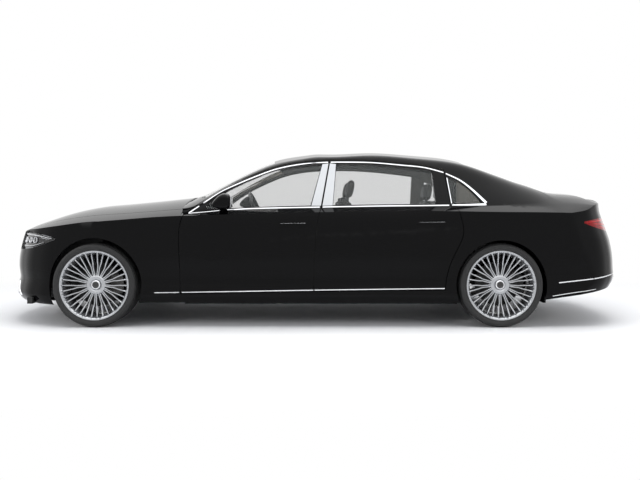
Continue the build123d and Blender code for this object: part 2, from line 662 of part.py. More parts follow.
def wheel_blank():
    """A forged wheel about the origin, its face towards -Y: rim, hub, cap and paired spokes."""
    half, seat, well = RIM_WIDTH / 2, RIM_RADIUS - 12, RIM_RADIUS - 28
    rim = revolved([(RIM_RADIUS, -half), (RIM_RADIUS, 8 - half), (seat, 12 - half), (well, 56 - half),
                    (well, half - 56), (seat, half - 12), (RIM_RADIUS, half - 8), (RIM_RADIUS, half),
                    (RIM_RADIUS - 14, half), (seat - 8, half - 12), (well - 8, half - 52),
                    (well - 8, 56 - half), (seat - 10, 16 - half), (RIM_RADIUS - 12, -half)])
    dish = revolved([(HUB_RADIUS - 16, -64), (0.6 * RIM_RADIUS, -76), (RIM_RADIUS - 15, -110),
                     (RIM_RADIUS - 24, -78), (0.6 * RIM_RADIUS, -46), (HUB_RADIUS - 16, HUB_BACK)])
    spokes = [spoke_blank(2 * pi * (i + 0.5) / SPOKE_PAIRS - pi / 2 + pi / SPOKE_PAIRS, side) & dish
              for i in range(SPOKE_PAIRS) for side in (-1, 1)]
    hub = revolved([(HUB_BORE, HUB_BACK), (HUB_RADIUS, HUB_BACK), (HUB_RADIUS, -62), (HUB_RADIUS - 5, -68),
                    (42, -68), (42, -64), (37, -64), (37, -70), (0, -73), (0, -60), (HUB_BORE, -60)])
    return rim.fuse(hub, *[solid for spoke in spokes for solid in spoke.solids()])


def tyre_blank():
    """A tyre about the origin, open towards the rim."""
    half = TYRE_WIDTH / 2
    seat = RIM_RADIUS - 12 + AXLE_CLEARANCE
    outer = [(seat, 103.4), (RIM_RADIUS + 0.6, 107.3), (296, 118), (308, half - 2), (322, half),
             (337, half - 5), (TYRE_RADIUS - 3, half - 21), (TYRE_RADIUS, half - 42)]
    inner = [(TYRE_RADIUS - 13, half - 50), (330, half - 26), (318, half - 15), (300, half - 21), (seat, 88)]
    profile = outer + [(radius, -y) for radius, y in reversed(outer)]
    profile += [(radius, -y) for radius, y in reversed(inner)] + inner
    return revolved(profile)


def disc_blank():
    """A brake disc with its hat, against the back of the hub."""
    return revolved([(HUB_BORE, HUB_BACK), (86, HUB_BACK), (86, 20), (DISC_RADIUS, 20), (DISC_RADIUS, 52),
                     (78, 52), (78, HUB_BACK + 9), (HUB_BORE, HUB_BACK + 9)])


def carrier_blank():
    """What carries a wheel: spindle, upright plate and brake caliper."""
    spindle = Pos(0, 36, 0) * Rot(90, 0, 0) * Cylinder(HUB_BORE - AXLE_CLEARANCE, 108)
    plate = Pos(0, 80, 0) * Rot(90, 0, 0) * Cylinder(62, 24)
    caliper = block(108, 218, 4, 68, -78, 78) & (Pos(0, 36, 0) * Rot(90, 0, 0) * Cylinder(216, 100))
    caliper -= block(90, DISC_RADIUS + 4, 17, 55, -90, 90)
    bracket = block(30, 150, 68, 88, -40, 40)
    return spindle + plate + caliper + bracket


def knuckle_blank():
    """A front carrier with its kingpin column and ball studs."""
    lean = WHEEL_Y - KINGPIN_Y
    column = Pos(0, lean, 0) * Cylinder(16, 2 * BALL_REACH)
    studs = Pos(0, lean, 0) * Cylinder(10, 2 * BALL_REACH + 56)
    web = block(-22, 22, 80, lean, -BALL_REACH + 4, BALL_REACH - 4)
    return carrier_blank() + column + studs + web


def placed(blank, axle_x, side):
    """A wheel-side piece at its axle: side -1 is the left, +1 the right."""
    turned = blank if side < 0 else mirror(blank, about=Plane.XZ)
    return Pos(axle_x, side * WHEEL_Y, TYRE_RADIUS) * turned


def wheel_parts():
    """Four wheels with tyres and discs, and the two steered knuckles."""
    nodes = {}
    wheel, tyre, disc, knuckle = wheel_blank(), tyre_blank(), disc_blank(), knuckle_blank()
    for end, axle_x in (("front", FRONT_AXLE_X), ("rear", REAR_AXLE_X)):
        for side_name, side in (("left", -1), ("right", 1)):
            nodes[f"{end}_{side_name}_wheel"] = [placed(wheel, axle_x, side)]
            nodes[f"{end}_{side_name}_tyre"] = [placed(tyre, axle_x, side)]
            nodes[f"{end}_{side_name}_disc"] = [placed(disc, axle_x, side)]
            if end == "front":
                nodes[f"{side_name}_knuckle"] = [placed(knuckle, axle_x, side)]
    return nodes


def wishbone(z):
    """A left front arm: an eye on the kingpin and two legs to the frame rail."""
    eye = Pos(FRONT_AXLE_X, -KINGPIN_Y, z) * (Cylinder(26, 20) - Cylinder(10 + AXLE_CLEARANCE, 20))
    arm = eye
    for reach in (-150, 150):
        outline = [(FRONT_AXLE_X + 16, 18 - KINGPIN_Y, z - 8), (FRONT_AXLE_X - 16, 18 - KINGPIN_Y, z - 8),
                   (FRONT_AXLE_X + reach - 20, RAIL_Y[0], z - 8), (FRONT_AXLE_X + reach + 20, RAIL_Y[0], z - 8)]
        arm += Solid.extrude(Face(Wire.make_polygon(outline)), Vector(0, 0, 16))
    return arm


def front_suspension_part():
    """Wishbones, air struts and their towers on the frame rails."""
    low_z, high_z = TYRE_RADIUS - BALL_REACH - 14, TYRE_RADIUS + BALL_REACH + 14
    strut = Pos(FRONT_AXLE_X, -580, (low_z + TOWER_Z) / 2) * Cylinder(34, TOWER_Z - low_z)
    return {"front_suspension": both(wishbone(low_z) + strut) + both(wishbone(high_z))}


def front_frame_part():
    """Rails, cross member, strut towers, radiator and bumper beam ahead of the firewall."""
    inner = RAIL_Y[1]
    outer = RAIL_Y[0] + PANEL_FIT
    back = FIREWALL_X - PANEL_FIT
    low_z, high_z = TYRE_RADIUS - BALL_REACH - 34, TOWER_Z + PANEL_FIT
    frame = block(-2580, back, outer, inner, 330, 430)
    frame += block(FRONT_AXLE_X - 180, FRONT_AXLE_X + 180, outer, inner, low_z, high_z + 14)
    frame += block(FRONT_AXLE_X - 60, FRONT_AXLE_X + 60, -640, inner - 10, high_z, high_z + 14)
    frame += block(-2590, -2550, -520, 1, 410, 560)
    frame += block(-2555, -2510, -400, 1, 160, 690)
    frame += block(FRONT_AXLE_X - 60, FRONT_AXLE_X + 60, inner - 10, 1, 250, 320)
    frame += block(-2530, back, outer, 1, 158, 168)
    for x in (-2300, -1300):
        frame += (Pos(x, -415, 750) * Cylinder(9, 740)) & form(hood_tent, HOOD_WALL + 2 * STOP_GAP)
    left = frame & block(-3000, 0, -OUTSIDE, 0, 0, 1300)
    return {"front_frame": [whole(left)]}


def engine_part():
    """The engine and gearbox, as one plain mass on the cross member."""
    gearbox = block(-1345, FIREWALL_X - 8, -150, 150, 300, 560)
    return {"engine": [block(-2120, -1340, -250, 250, 320 + PANEL_FIT, 830) + gearbox]}


def rear_suspension_part():
    """Subframe, arms, air springs and the fixed rear wheel carriers."""
    frame = block(1480, 1660, -430, 0, 300, 352) + block(1490, 1650, -120, 0, 270, 430)
    arm = block(1540, 1604, -760, -400, 300, 330) + block(1440, 1470, -742, -400, 430, 452)
    arm += block(1440, 1500, -430, -380, 300, 452) + block(1440, 1590, -742, -715, 300, 452)
    shaft = Pos(REAR_AXLE_X, -440, TYRE_RADIUS + 42) * Rot(90, 0, 0) * Cylinder(17, 640)
    spring_height = AXLE_TUNNEL_Z - 330 - 2 * PANEL_FIT
    spring = Pos(REAR_AXLE_X + 2, -600, (330 + AXLE_TUNNEL_Z) / 2) * Cylinder(48, spring_height)
    carrier = Pos(REAR_AXLE_X, -WHEEL_Y, TYRE_RADIUS) * carrier_blank()
    link = block(REAR_AXLE_X - 40, REAR_AXLE_X + 30, 92 - WHEEL_Y - 6, -700, 310, 400)
    return {"rear_suspension": [whole(frame + arm + shaft + spring + carrier + link)]}


def exhaust_part():
    """One pipe along the tunnel, two silencers under the boot and a tailpipe on each side."""
    pipe = Pos((FIREWALL_X + 1300) / 2, 0, 180) * Rot(0, 90, 0) * Cylinder(28, 1300 - FIREWALL_X)
    for x in (-600, 200, 1000):
        pipe += block(x - 15, x + 15, -15, 15, 200, EXHAUST_ROOF - PANEL_FIT)
    link = block(1272, 1900, -26, 26, 156, 204)
    silencer = block(1860, 2440, -560, -60, 180, 280) + block(1860, 1960, -70, 0, 160, 240)
    hanger = block(2100, 2130, -330, -300, 270, SILENCER_ROOF - PANEL_FIT)
    tailpipe = block(2430, 2630, -560, -400, 220, 270)
    return {"exhaust": [whole(silencer + hanger + tailpipe) + pipe + link]}


def liner_parts():
    """Wheel-arch liners, from the fender lips inwards."""
    ring = Cylinder(FRONT_LINER + LINER_WALL, 270) - Cylinder(FRONT_LINER, 270)
    arch = Pos(FRONT_AXLE_X, -810, TYRE_RADIUS) * Rot(90, 0, 0) * ring
    arch = arch & block(-3000, FIREWALL_X - PANEL_FIT, -OUTSIDE, -300, 300, 1200)
    return {"wheel_liners": both(arch & form(front_form, BUMPER_WALL + LINER_GAP))}


def mirror_parts():
    """Door mirrors on short feet, on the shoulders of the front doors."""
    nodes = {}
    housing = Pos(-760, -975, 1052) * Box(160, 190, 128)
    housing = fillet(housing.edges(), 42)
    foot = Solid.make_loft([Wire.make_ellipse(42, 22, Plane((-748, -896, 930))),
                            Wire.make_ellipse(34, 18, Plane((-756, -930, 1010)))])
    for side, piece in zip(("left", "right"), both((housing + foot) - form(rear_form))):
        nodes[f"{side}_mirror"] = [piece]
    return nodes


def front_seat():
    """A left front seat: cushion on its rails, leaning back and headrest."""
    seat = block(-330, 200, -610, -160, 400, 520)
    seat += block(-250, 150, -560, -210, CABIN_FLOOR + PANEL_FIT, 400)
    back = Pos(205, -385, 800) * Rot(0, 20, 0) * fillet(Box(130, 450, 600).edges(), 40)
    rest = Pos(330, -385, 1165) * Rot(0, 12, 0) * fillet(Box(80, 250, 180).edges(), 30)
    post = Pos(305, -385, 1060) * Rot(0, 18, 0) * Box(24, 120, 120)
    return seat + back + post + rest


def rear_seat():
    """A left rear seat, which leans against the bulkhead."""
    seat = block(560, 1100, -690, -120, CABIN_FLOOR + PANEL_FIT, 500)
    back = Pos(1080, -405, 780) * Rot(0, 22, 0) * fillet(Box(150, 560, 640).edges(), 40)
    rest = Pos(1150, -405, 1150) * Rot(0, 10, 0) * fillet(Box(90, 280, 190).edges(), 30)
    post = Pos(1150, -405, 1050) * Box(24, 140, 120)
    return seat + back + post + rest


def interior_parts():
    """Seats, dashboard with the steering column, centre console and steering wheel."""
    cx, cy, cz = STEERING_CENTRE
    dash = block(CABIN_FRONT_X + PANEL_FIT, -660, -780, 780, 620, 930)
    dash = dash & form(cabin_tent, ROOF_WALL + 4).fuse(mirrored(form(cabin_tent, ROOF_WALL + 4)))
    tilt = Pos(cx, cy, cz) * Rot(0, 90 - COLUMN_TILT, 0)
    column = tilt * Pos(0, 0, -BOSS_HEIGHT / 2 - STOP_GAP - 120) * Cylinder(30, 240)
    console = block(-700, 480, -120, 120, CABIN_FLOOR + PANEL_FIT, 560)
    console += block(-700, -640, -120, 120, 550, 700)
    rim = tilt * Torus(STEERING_RADIUS, 15)
    boss = tilt * Cylinder(48, BOSS_HEIGHT)
    spokes = Box(30, 2 * STEERING_RADIUS, 16) + Pos(STEERING_RADIUS / 2, 0, 0) * Box(STEERING_RADIUS, 40, 16)
    return {"dashboard": [dash + column + console], "front_seats": both(front_seat()),
            "rear_seats": both(rear_seat()), "steering_wheel": [rim + boss + tilt * spokes]}


def build():
    nodes = {}
    for maker in (door_parts, hood_part, lid_parts, lamp_parts, fender_parts, front_bumper_part,
                  rear_bumper_part, shell_part, fixed_glass_parts, grille_parts, wheel_parts,
                  front_suspension_part, front_frame_part, engine_part, stop_parts, rear_suspension_part,
                  exhaust_part, liner_parts, mirror_parts, interior_parts):
        nodes.update(maker())
    return nodes


if __name__ == "__main__":
    os.makedirs("parts", exist_ok=True)
    for name, pieces in build().items():
        solids = [solid for piece in pieces for solid in piece.solids()]
        export_step(Compound(solids), f"parts/{name}.step")
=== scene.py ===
# %% [markdown]
# # A long luxury sedan in gloss black
# The car was cut and jointed in a CAD program.  Here it gets its looks: smooth paint, glass, bright trim,
# lamps, tyres with tread, leather seats and a studio.  Everything is in metres, with +Z up, the nose towards
# -X and the left side towards -Y.
# %% Load the frame
import math

import bmesh
import bpy
import numpy as np
from mathutils import Matrix, Vector
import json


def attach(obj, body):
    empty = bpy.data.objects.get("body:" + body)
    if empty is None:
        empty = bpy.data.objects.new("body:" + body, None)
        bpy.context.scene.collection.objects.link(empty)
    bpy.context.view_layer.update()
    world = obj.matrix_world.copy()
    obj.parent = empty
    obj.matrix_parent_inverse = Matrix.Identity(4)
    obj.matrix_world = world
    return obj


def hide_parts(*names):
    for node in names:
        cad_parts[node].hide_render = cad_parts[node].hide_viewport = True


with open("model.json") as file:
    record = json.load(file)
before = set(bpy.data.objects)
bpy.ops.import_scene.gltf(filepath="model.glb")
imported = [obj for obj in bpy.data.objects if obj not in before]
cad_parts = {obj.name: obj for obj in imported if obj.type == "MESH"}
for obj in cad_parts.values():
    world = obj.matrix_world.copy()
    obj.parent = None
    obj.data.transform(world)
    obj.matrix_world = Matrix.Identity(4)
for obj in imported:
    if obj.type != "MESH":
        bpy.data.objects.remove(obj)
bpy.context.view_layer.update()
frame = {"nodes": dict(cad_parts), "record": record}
scene = bpy.context.scene
nodes = frame["nodes"]
BODY_OF = {node: body for body, members in frame["record"]["behaviour"]["bodies"].items() for node in members}
SIDES = ((-1, "left"), (1, "right"))

# %% [markdown]
# ## Lines of the body
# A car body is drawn as a few long curves: the side in plan, the nose and tail in profile, the hood, the roof
# and the waist.  The panels were cut from surfaces made of those curves.  The same curves are worth having
# here, because they tell which way the surface faces at any point, and so how the paint catches the light.
# The hood ends and the cabin starts at the firewall.  All is in millimetres.
# %% A smooth curve through stations
def through(*stations):
    """A function that runs smoothly through (place, value) pairs and straight on beyond them."""
    xs, ys = np.array(stations, float).T
    steps, gaps = np.diff(ys) / np.diff(xs), np.diff(xs)
    inner = (steps[:-1] * gaps[1:] + steps[1:] * gaps[:-1]) / (gaps[1:] + gaps[:-1])
    slopes = np.concatenate([steps[:1], inner, steps[-1:]])

    def value(x):
        x = np.asarray(x, float)
        i = np.clip(np.searchsorted(xs, x, side="right") - 1, 0, len(gaps) - 1)
        t = np.clip((x - xs[i]) / gaps[i], 0, 1)
        start = (1 + 2 * t) * (1 - t) ** 2
        lift = t * (1 - t) ** 2 * slopes[i] - t * t * (1 - t) * slopes[i + 1]
        beyond = slopes[0] * np.minimum(x - xs[0], 0) + slopes[-1] * np.maximum(x - xs[-1], 0)
        return start * ys[i] + (1 - start) * ys[i + 1] + gaps[i] * lift + beyond

    return value


nose_x = through((150, -2600), (200, -2690), (240, -2730), (300, -2729), (380, -2712), (470, -2722),
                 (580, -2716), (700, -2690), (850, -2640), (960, -2600), (1200, -2560))
tail_x = through((150, 2560), (200, 2610), (240, 2640), (300, 2690), (380, 2731), (470, 2730),
                 (580, 2724), (700, 2702), (850, 2650), (960, 2612), (1080, 2600), (1200, 2596))
side_y = through((-2150, 925), (-1824, 950), (-1300, 952), (-500, 955), (400, 960), (1100, 958),
                 (1571, 957), (1900, 950), (2250, 930))
tuck = through((150, -85), (200, -55), (240, -27), (300, -20), (380, -30), (470, -24), (580, -9),
               (700, 0), (850, -5), (960, -18), (1080, -45), (1200, -60))
tuck_share = through((-2300, 0.9), (-1824, 0.4), (-1300, 1.0), (-500, 1.0), (900, 1.0), (1571, 0.35),
                     (2250, 0.9))
crease_z = through((-2750, 620), (-2526, 705), (-2214, 804), (-1857, 878), (-1553, 905), (-1203, 927),
                   (-852, 938), (59, 961), (1058, 972), (1524, 969), (1973, 958), (2330, 930),
                   (2600, 890), (2750, 865))
hood_z = through((-2800, 670), (-2690, 758), (-2609, 799), (-2526, 848), (-2359, 911), (-2192, 962),
                 (-1979, 1005), (-1699, 1032), (-1418, 1059), (-1138, 1088), (-860, 1110))
roof_z = through((-1104, 1066), (-1000, 1132), (-850, 1211), (-700, 1288), (-500, 1383), (-350, 1440),
                 (-150, 1480), (100, 1501), (400, 1510), (750, 1502), (1050, 1478), (1270, 1448),
                 (1450, 1397), (1650, 1322), (1850, 1243), (2000, 1185), (2095, 1153), (2200, 1137),
                 (2400, 1109), (2600, 1076), (2760, 1048))
roof_crown = through((-1120, 58), (-1000, 108), (-900, 106), (-790, 95), (-600, 86), (-350, 80), (100, 66),
                     (750, 66), (1270, 70), (1650, 66), (2000, 40), (2300, 30), (2760, 30))
corner_y = through((-1104, 830), (-790, 768), (-502, 702), (-323, 660), (-141, 630), (105, 608),
                   (400, 600), (1050, 600), (1450, 598), (1850, 585), (2100, 570), (2400, 560), (2760, 540))
belt_y = through((-1120, 850), (-500, 850), (500, 852), (1200, 850), (1500, 842), (1850, 822),
                 (2200, 800), (2760, 780))
belt_z = through((-1120, 957), (-852, 970), (-695, 979), (-195, 995), (73, 1000), (440, 1007),
                 (1075, 1013), (1431, 1015), (1850, 1018), (2200, 1020), (2600, 1003), (2760, 985))
end_sweep = through((0, 0), (0.15, 4), (0.3, 18), (0.5, 75), (0.7, 190), (0.85, 345), (0.93, 500),
                    (1.0, 760))
FIREWALL_X, END_WIDTH, TAIL_SWEEP, CREASE_Y = -1104, 930, 0.62, 940
CROWN_POWER, UPRIGHT_ABOVE, FULL_GLASS = 2.2, 1250, 150
STATIONS = np.array([-1120, -1000, -850, -700, -500, -350, -150, 100, 400, 750, 1050, 1270, 1450, 1650,
                     1850, 2000, 2100, 2200, 2400, 2600, 2860], float)
KNOTS = np.array([0, 0.14, 0.28, 0.42, 0.52, 0.74, 1.0])
print("roof at", round(float(roof_z(400))), "mm, waist at", round(float(belt_z(0))), "mm")

# %% [markdown]
# ## Surfaces of the body
# Five surfaces meet on the car: the side, the nose, the tail, the hood with the fender tops, and the cabin.
# Four of them are heights over a plane.  The cabin is lofted, so it is rebuilt as cubic splines in both
# directions.  A plain slope leads from the waist out to the crease.  Each function gives how far a point
# stands off its surface.
# %% Splines for the cabin
def spline_slopes(t, points):
    """Slopes of a cubic spline through points, with its ends bent as the nearest three points bend."""
    h = np.diff(t)
    d = np.diff(points, axis=0) / h[:, None]
    count = len(t)
    system, right = np.zeros((count, count)), np.zeros_like(points)
    system[0, 0] = system[-1, -1] = 1
    right[0] = d[0] - (d[1] - d[0]) * h[0] / (h[0] + h[1])
    right[-1] = d[-1] + (d[-1] - d[-2]) * h[-1] / (h[-1] + h[-2])
    for i in range(1, count - 1):
        system[i, i - 1:i + 2] = h[i], 2 * (h[i - 1] + h[i]), h[i - 1]
        right[i] = 3 * (h[i] * d[i - 1] + h[i - 1] * d[i])
    return np.linalg.solve(system, right)


def spline_value(t, points, slopes, at):
    """The spline's value at each place."""
    i = np.clip(np.searchsorted(t, at, side="right") - 1, 0, len(t) - 2)
    h = (t[i + 1] - t[i])[:, None]
    s = (at[:, None] - t[i][:, None]) / h
    return ((1 + 2 * s) * (1 - s) ** 2 * points[i] + s * s * (3 - 2 * s) * points[i + 1]
            + h * (s * (1 - s) ** 2 * slopes[i] - s * s * (1 - s) * slopes[i + 1]))


def cabin_section(x):
    """Seven points of half a cross section: the waist, the side glass, the cant rail and the roof."""
    top, rail_y, rail_z = roof_z(x), corner_y(x), roof_z(x) - roof_crown(x)
    sill_y, sill_z = belt_y(x), belt_z(x)
    full = min(1, (rail_z - sill_z) / FULL_GLASS)
    glass = [(sill_y + (rail_y - sill_y) * share + 0.85 * bulge * full,
              sill_z + (rail_z - sill_z) * share + 0.5 * bulge * full)
             for share, bulge in ((0.3, 8), (0.65, 10))]
    roof = [(s * rail_y, top - (top - rail_z) * s ** CROWN_POWER) for s in (0.86, 0.5, 0)]
    return [(sill_y, sill_z), *glass, (rail_y - 2, rail_z - 6 * full), *roof]


FINE = np.linspace(0, 1, 161)
ribs = []
for station in STATIONS:
    points = np.array(cabin_section(station), float)
    ribs.append(spline_value(KNOTS, points, spline_slopes(KNOTS, points), FINE).ravel())
ribs = np.array(ribs)
rib_slopes = spline_slopes(STATIONS, ribs)
print("cabin surface of", len(STATIONS), "ribs with", len(FINE), "points each")


# %% How far a point stands off each surface
TINY, BATCH = 1e-9, 4000


def side_gap(p):
    y = side_y(p[:, 0]) + tuck(np.minimum(p[:, 2], UPRIGHT_ABOVE)) * tuck_share(p[:, 0])
    return np.abs(p[:, 1]) - y


def nose_gap(p):
    return nose_x(p[:, 2]) + end_sweep(np.abs(p[:, 1]) / END_WIDTH) - p[:, 0]


def tail_gap(p):
    return p[:, 0] - tail_x(p[:, 2]) + TAIL_SWEEP * end_sweep(np.abs(p[:, 1]) / END_WIDTH)


def hood_gap(p):
    top, edge = hood_z(p[:, 0]), crease_z(p[:, 0])
    return p[:, 2] - top + (top - edge) * (np.abs(p[:, 1]) / CREASE_Y) ** CROWN_POWER


def cabin_ribs(x):
    return spline_value(STATIONS, ribs, rib_slopes, np.asarray(x, float)).reshape(len(x), len(FINE), 2)


def shoulder_gap(p):
    """The slope from the waist out to the crease."""
    fall = (belt_z(p[:, 0]) - crease_z(p[:, 0])) / (CREASE_Y - belt_y(p[:, 0]))
    return p[:, 2] - belt_z(p[:, 0]) + fall * (np.abs(p[:, 1]) - belt_y(p[:, 0]))


def unit(vectors):
    """The same directions, each one long."""
    return vectors / np.maximum(np.linalg.norm(vectors, axis=1, keepdims=True), TINY)


def gradient(gap, p):
    """The unit direction in which the gap grows, found by small steps."""
    return unit(np.stack([gap(p + step) - gap(p - step) for step in np.eye(3) * 2.0], axis=1))


def cabin_nearest(p, step=5):
    """(gap, outward direction) at the nearest point of the cabin's section."""
    gap, way = np.zeros(len(p)), np.zeros((len(p), 3))
    for a in range(0, len(p), BATCH):
        q = p[a:a + BATCH]
        here = cabin_ribs(q[:, 0])
        ahead, behind = cabin_ribs(q[:, 0] + step), cabin_ribs(q[:, 0] - step)
        off = np.stack([np.abs(q[:, 1:2]), q[:, 2:3]], axis=2) - here
        k = np.argmin((off ** 2).sum(axis=2), axis=1)
        row = np.arange(len(q))
        lo, hi = np.clip(k - 1, 0, len(FINE) - 1), np.clip(k + 1, 0, len(FINE) - 1)
        across = here[row, hi] - here[row, lo]
        along = ahead[row, k] - behind[row, k]
        u = np.stack([np.full(len(q), 2.0 * step), along[:, 0], along[:, 1]], axis=1)
        v = np.stack([np.zeros(len(q)), across[:, 0], across[:, 1]], axis=1)
        n = unit(np.cross(v, u))
        n *= np.sign(n[:, 2:3] + TINY)
        gap[a:a + BATCH] = (off[row, k] * n[:, 1:]).sum(axis=1)
        n[:, 1] *= np.where(q[:, 1] < 0, -1, 1)
        way[a:a + BATCH] = n
    return gap, way


# %% [markdown]
# ## Smooth panels
# A CAD program hands over triangles, and gloss paint shows each one.  The cure is to copy the panel, weld and
# split its long triangles, and then tell every corner which way the true surface faces there.  Corners that
# lie on no surface, such as flanges and cut edges, keep the face's own direction.
# %% Skin a CAD node
LONGEST_EDGE, SPLIT_ROUNDS, WELD = 0.07, 6, 1e-5
# How far a surface is felt, in millimetres, how fast that fades, and how alike two directions have to be.
PANEL_REACH, GLASS_REACH, FADE, SAME_WAY = 14.0, 20.0, 5, 0.9
# The part of the car's length over which each surface counts.
NOSE_ENDS, CABIN_STARTS, TAIL_STARTS, BEYOND = -1100, -1110, 1100, 9999


def welded_copy(node):
    """A bmesh of a CAD node with its triangles merged."""
    bm = bmesh.new()
    bm.from_mesh(nodes[node].data)
    bmesh.ops.remove_doubles(bm, verts=bm.verts, dist=WELD)
    return bm


def split_copy(node):
    """A welded copy with its long edges split."""
    bm = welded_copy(node)
    for _ in range(SPLIT_ROUNDS):
        long = [e for e in bm.edges if e.calc_length() > LONGEST_EDGE]
        if not long:
            break
        bmesh.ops.subdivide_edges(bm, edges=long, cuts=1)
        bmesh.ops.triangulate(bm, faces=[f for f in bm.faces if len(f.verts) > 3])
    return bm


def read_all(items, what, width=3, kind=float):
    """One property of every item, as an array."""
    values = np.empty(len(items) * width, kind)
    items.foreach_get(what, values)
    return values.reshape(-1, width) if width > 1 else values


def true_normals(mesh, reach):
    """Loop directions taken from the body surfaces that each corner lies on or near."""
    co = read_all(mesh.vertices, "co") * 1000
    loop_vert = read_all(mesh.loops, "vertex_index", 1, int)
    totals = read_all(mesh.polygons, "loop_total", 1, int)
    flat = np.repeat(read_all(mesh.polygons, "normal"), totals, axis=0)
    chosen = read_all(mesh.corner_normals, "vector") * 1e-6
    for gap, low, high in ((side_gap, -BEYOND, BEYOND), (nose_gap, -BEYOND, NOSE_ENDS),
                           (tail_gap, TAIL_STARTS, BEYOND), (hood_gap, -BEYOND, NOSE_ENDS),
                           (shoulder_gap, CABIN_STARTS, BEYOND), (None, CABIN_STARTS, BEYOND)):
        off, way = (gap(co), gradient(gap, co)) if gap else cabin_nearest(co)
        off = np.where((co[:, 0] < low) | (co[:, 0] > high), BEYOND, np.abs(off))
        share = np.where(off < reach, np.exp(-(off / FADE) ** 2) + 1e-4, 0)[loop_vert]
        share *= (way[loop_vert] * flat).sum(axis=1) > SAME_WAY
        chosen += way[loop_vert] * share[:, None]
    return unit(chosen)


def add_piece(name, bm, body, material, smooth_angle=30, stands_for=None):
    """An object from a bmesh, riding on a body, with the CAD node that it stands for if there is one."""
    mesh = bpy.data.meshes.new(name)
    bm.to_mesh(mesh)
    bm.free()
    obj = bpy.data.objects.new(name, mesh)
    scene.collection.objects.link(obj)
    mesh.materials.append(material)
    mesh.polygons.foreach_set("use_smooth", [True] * len(mesh.polygons))
    mesh.set_sharp_from_angle(angle=math.radians(smooth_angle))
    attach(obj, body)
    if stands_for:
        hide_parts(stands_for)
    return obj


def skin(node, material, reach):
    """The smooth panel that stands for a CAD node."""
    obj = add_piece(node + "_skin", split_copy(node), BODY_OF[node], material, stands_for=node)
    obj.data.normals_split_custom_set(true_normals(obj.data, reach))
    return obj


# %% [markdown]
# ## Finishes
# Each finish starts from what the real surface is and how it was made.  Paint is a pigment coat under clear
# lacquer, forged wheels are bead-blasted and lacquered, tyres are moulded rubber.  Patterns are sized in
# millimetres and read the object's own coordinates, so they stay put when a door swings.
# %% Helpers for materials
def linear(code):
    """An sRGB hex colour as linear RGBA."""
    parts = [int(code[i:i + 2], 16) / 255 for i in (1, 3, 5)]
    return tuple(c / 12.92 if c <= 0.04045 else ((c + 0.055) / 1.055) ** 2.4 for c in parts) + (1.0,)


def add_node(tree, kind, links=(), **settings):
    """A node with its settings and its incoming links, each (input, output socket)."""
    node = tree.nodes.new(kind)
    for key, value in settings.items():
        if hasattr(node, key):
            setattr(node, key, value)
        else:
            node.inputs[key.replace("_", " ")].default_value = value
    for name, socket in links:
        tree.links.new(socket, node.inputs[name])
    return node


def shaded(name, colour, roughness, **sockets):
    """A material with a Principled shader.  Returns it with its tree, shader and object coordinates."""
    material = bpy.data.materials.new(name)
    material.use_nodes = True
    tree = material.node_tree
    shader = tree.nodes["Principled BSDF"]
    shader.inputs["Base Color"].default_value = linear(colour)
    shader.inputs["Roughness"].default_value = roughness
    for key, value in sockets.items():
        shader.inputs[key.replace("_", " ")].default_value = value
    place = add_node(tree, "ShaderNodeTexCoord").outputs["Object"]
    return material, tree, shader, place


def grain(tree, shader, place, scale, rough, bump=0.0, distance=0.001, kind="ShaderNodeTexNoise"):
    """Uneven roughness between two values and, if asked, bump from the same pattern."""
    pattern = add_node(tree, kind, [("Vector", place)], Scale=scale)
    value = pattern.outputs["Fac"] if "Fac" in pattern.outputs else pattern.outputs["Distance"]
    spread = add_node(tree, "ShaderNodeMapRange", [("Value", value)], To_Min=rough[0], To_Max=rough[1])
    tree.links.new(spread.outputs["Result"], shader.inputs["Roughness"])
    if bump:
        lift = add_node(tree, "ShaderNodeBump", [("Height", value)], Strength=bump, Distance=distance)
        tree.links.new(lift.outputs["Normal"], shader.inputs["Normal"])


def finish(name, colour, pattern, **sockets):
    """A material whose roughness follows a pattern, given as grain's last values."""
    material, tree, shader, place = shaded(name, colour, sum(pattern[1]) / 2, **sockets)
    grain(tree, shader, place, *pattern)
    return material


# %% Paint, glass and metals
# Pigment under clear lacquer: the pigment scatters almost nothing, so all the light comes off the lacquer,
# faint when seen square on and strong along the shoulders, where it is seen at a slant.
paint = finish("black_lacquer_paint", "#070708", (900, (0.26, 0.34)), Coat_Weight=1.0,
               Coat_Roughness=0.03, Coat_IOR=1.2, Specular_IOR_Level=0.0)
chrome = finish("polished_chrome_trim", "#D8D9DC", (25, (0.05, 0.1)), Metallic=1.0)
brushed = finish("brushed_pillar_aluminium", "#A0A2A5", (120, (0.24, 0.34), 0.03, 0.0001), Metallic=1.0)
lit_red = finish("red_light_guide", "#F01820", (200, (0.15, 0.25)), Coat_Weight=0.5, Coat_IOR=1.25,
                 Specular_IOR_Level=0.1)
alloy = finish("lacquered_forged_alloy", "#ABADB0", (400, (0.24, 0.36), 0.05, 0.0002), Metallic=0.85,
               Coat_Weight=0.4, Coat_Roughness=0.08)
cast = finish("sand_cast_iron", "#5B5A59", (500, (0.4, 0.62), 0.3, 0.0004), Metallic=0.9)
satin = finish("satin_black_chassis_paint", "#101112", (300, (0.42, 0.6), 0.2, 0.0003))
steel = finish("rolled_stainless_steel", "#6E6C69", (60, (0.3, 0.5), 0.1, 0.0003), Metallic=1.0)


def clear(name, colour, roughness, tint_share):
    """Thin glass: the tint's share is a gloss surface over a tint, the rest lets light straight through."""
    material = finish(name, colour, (3, (roughness, roughness + 0.02)), Specular_IOR_Level=0.5,
                      Alpha=tint_share)
    material.diffuse_color = (*linear(colour)[:3], tint_share)
    return material


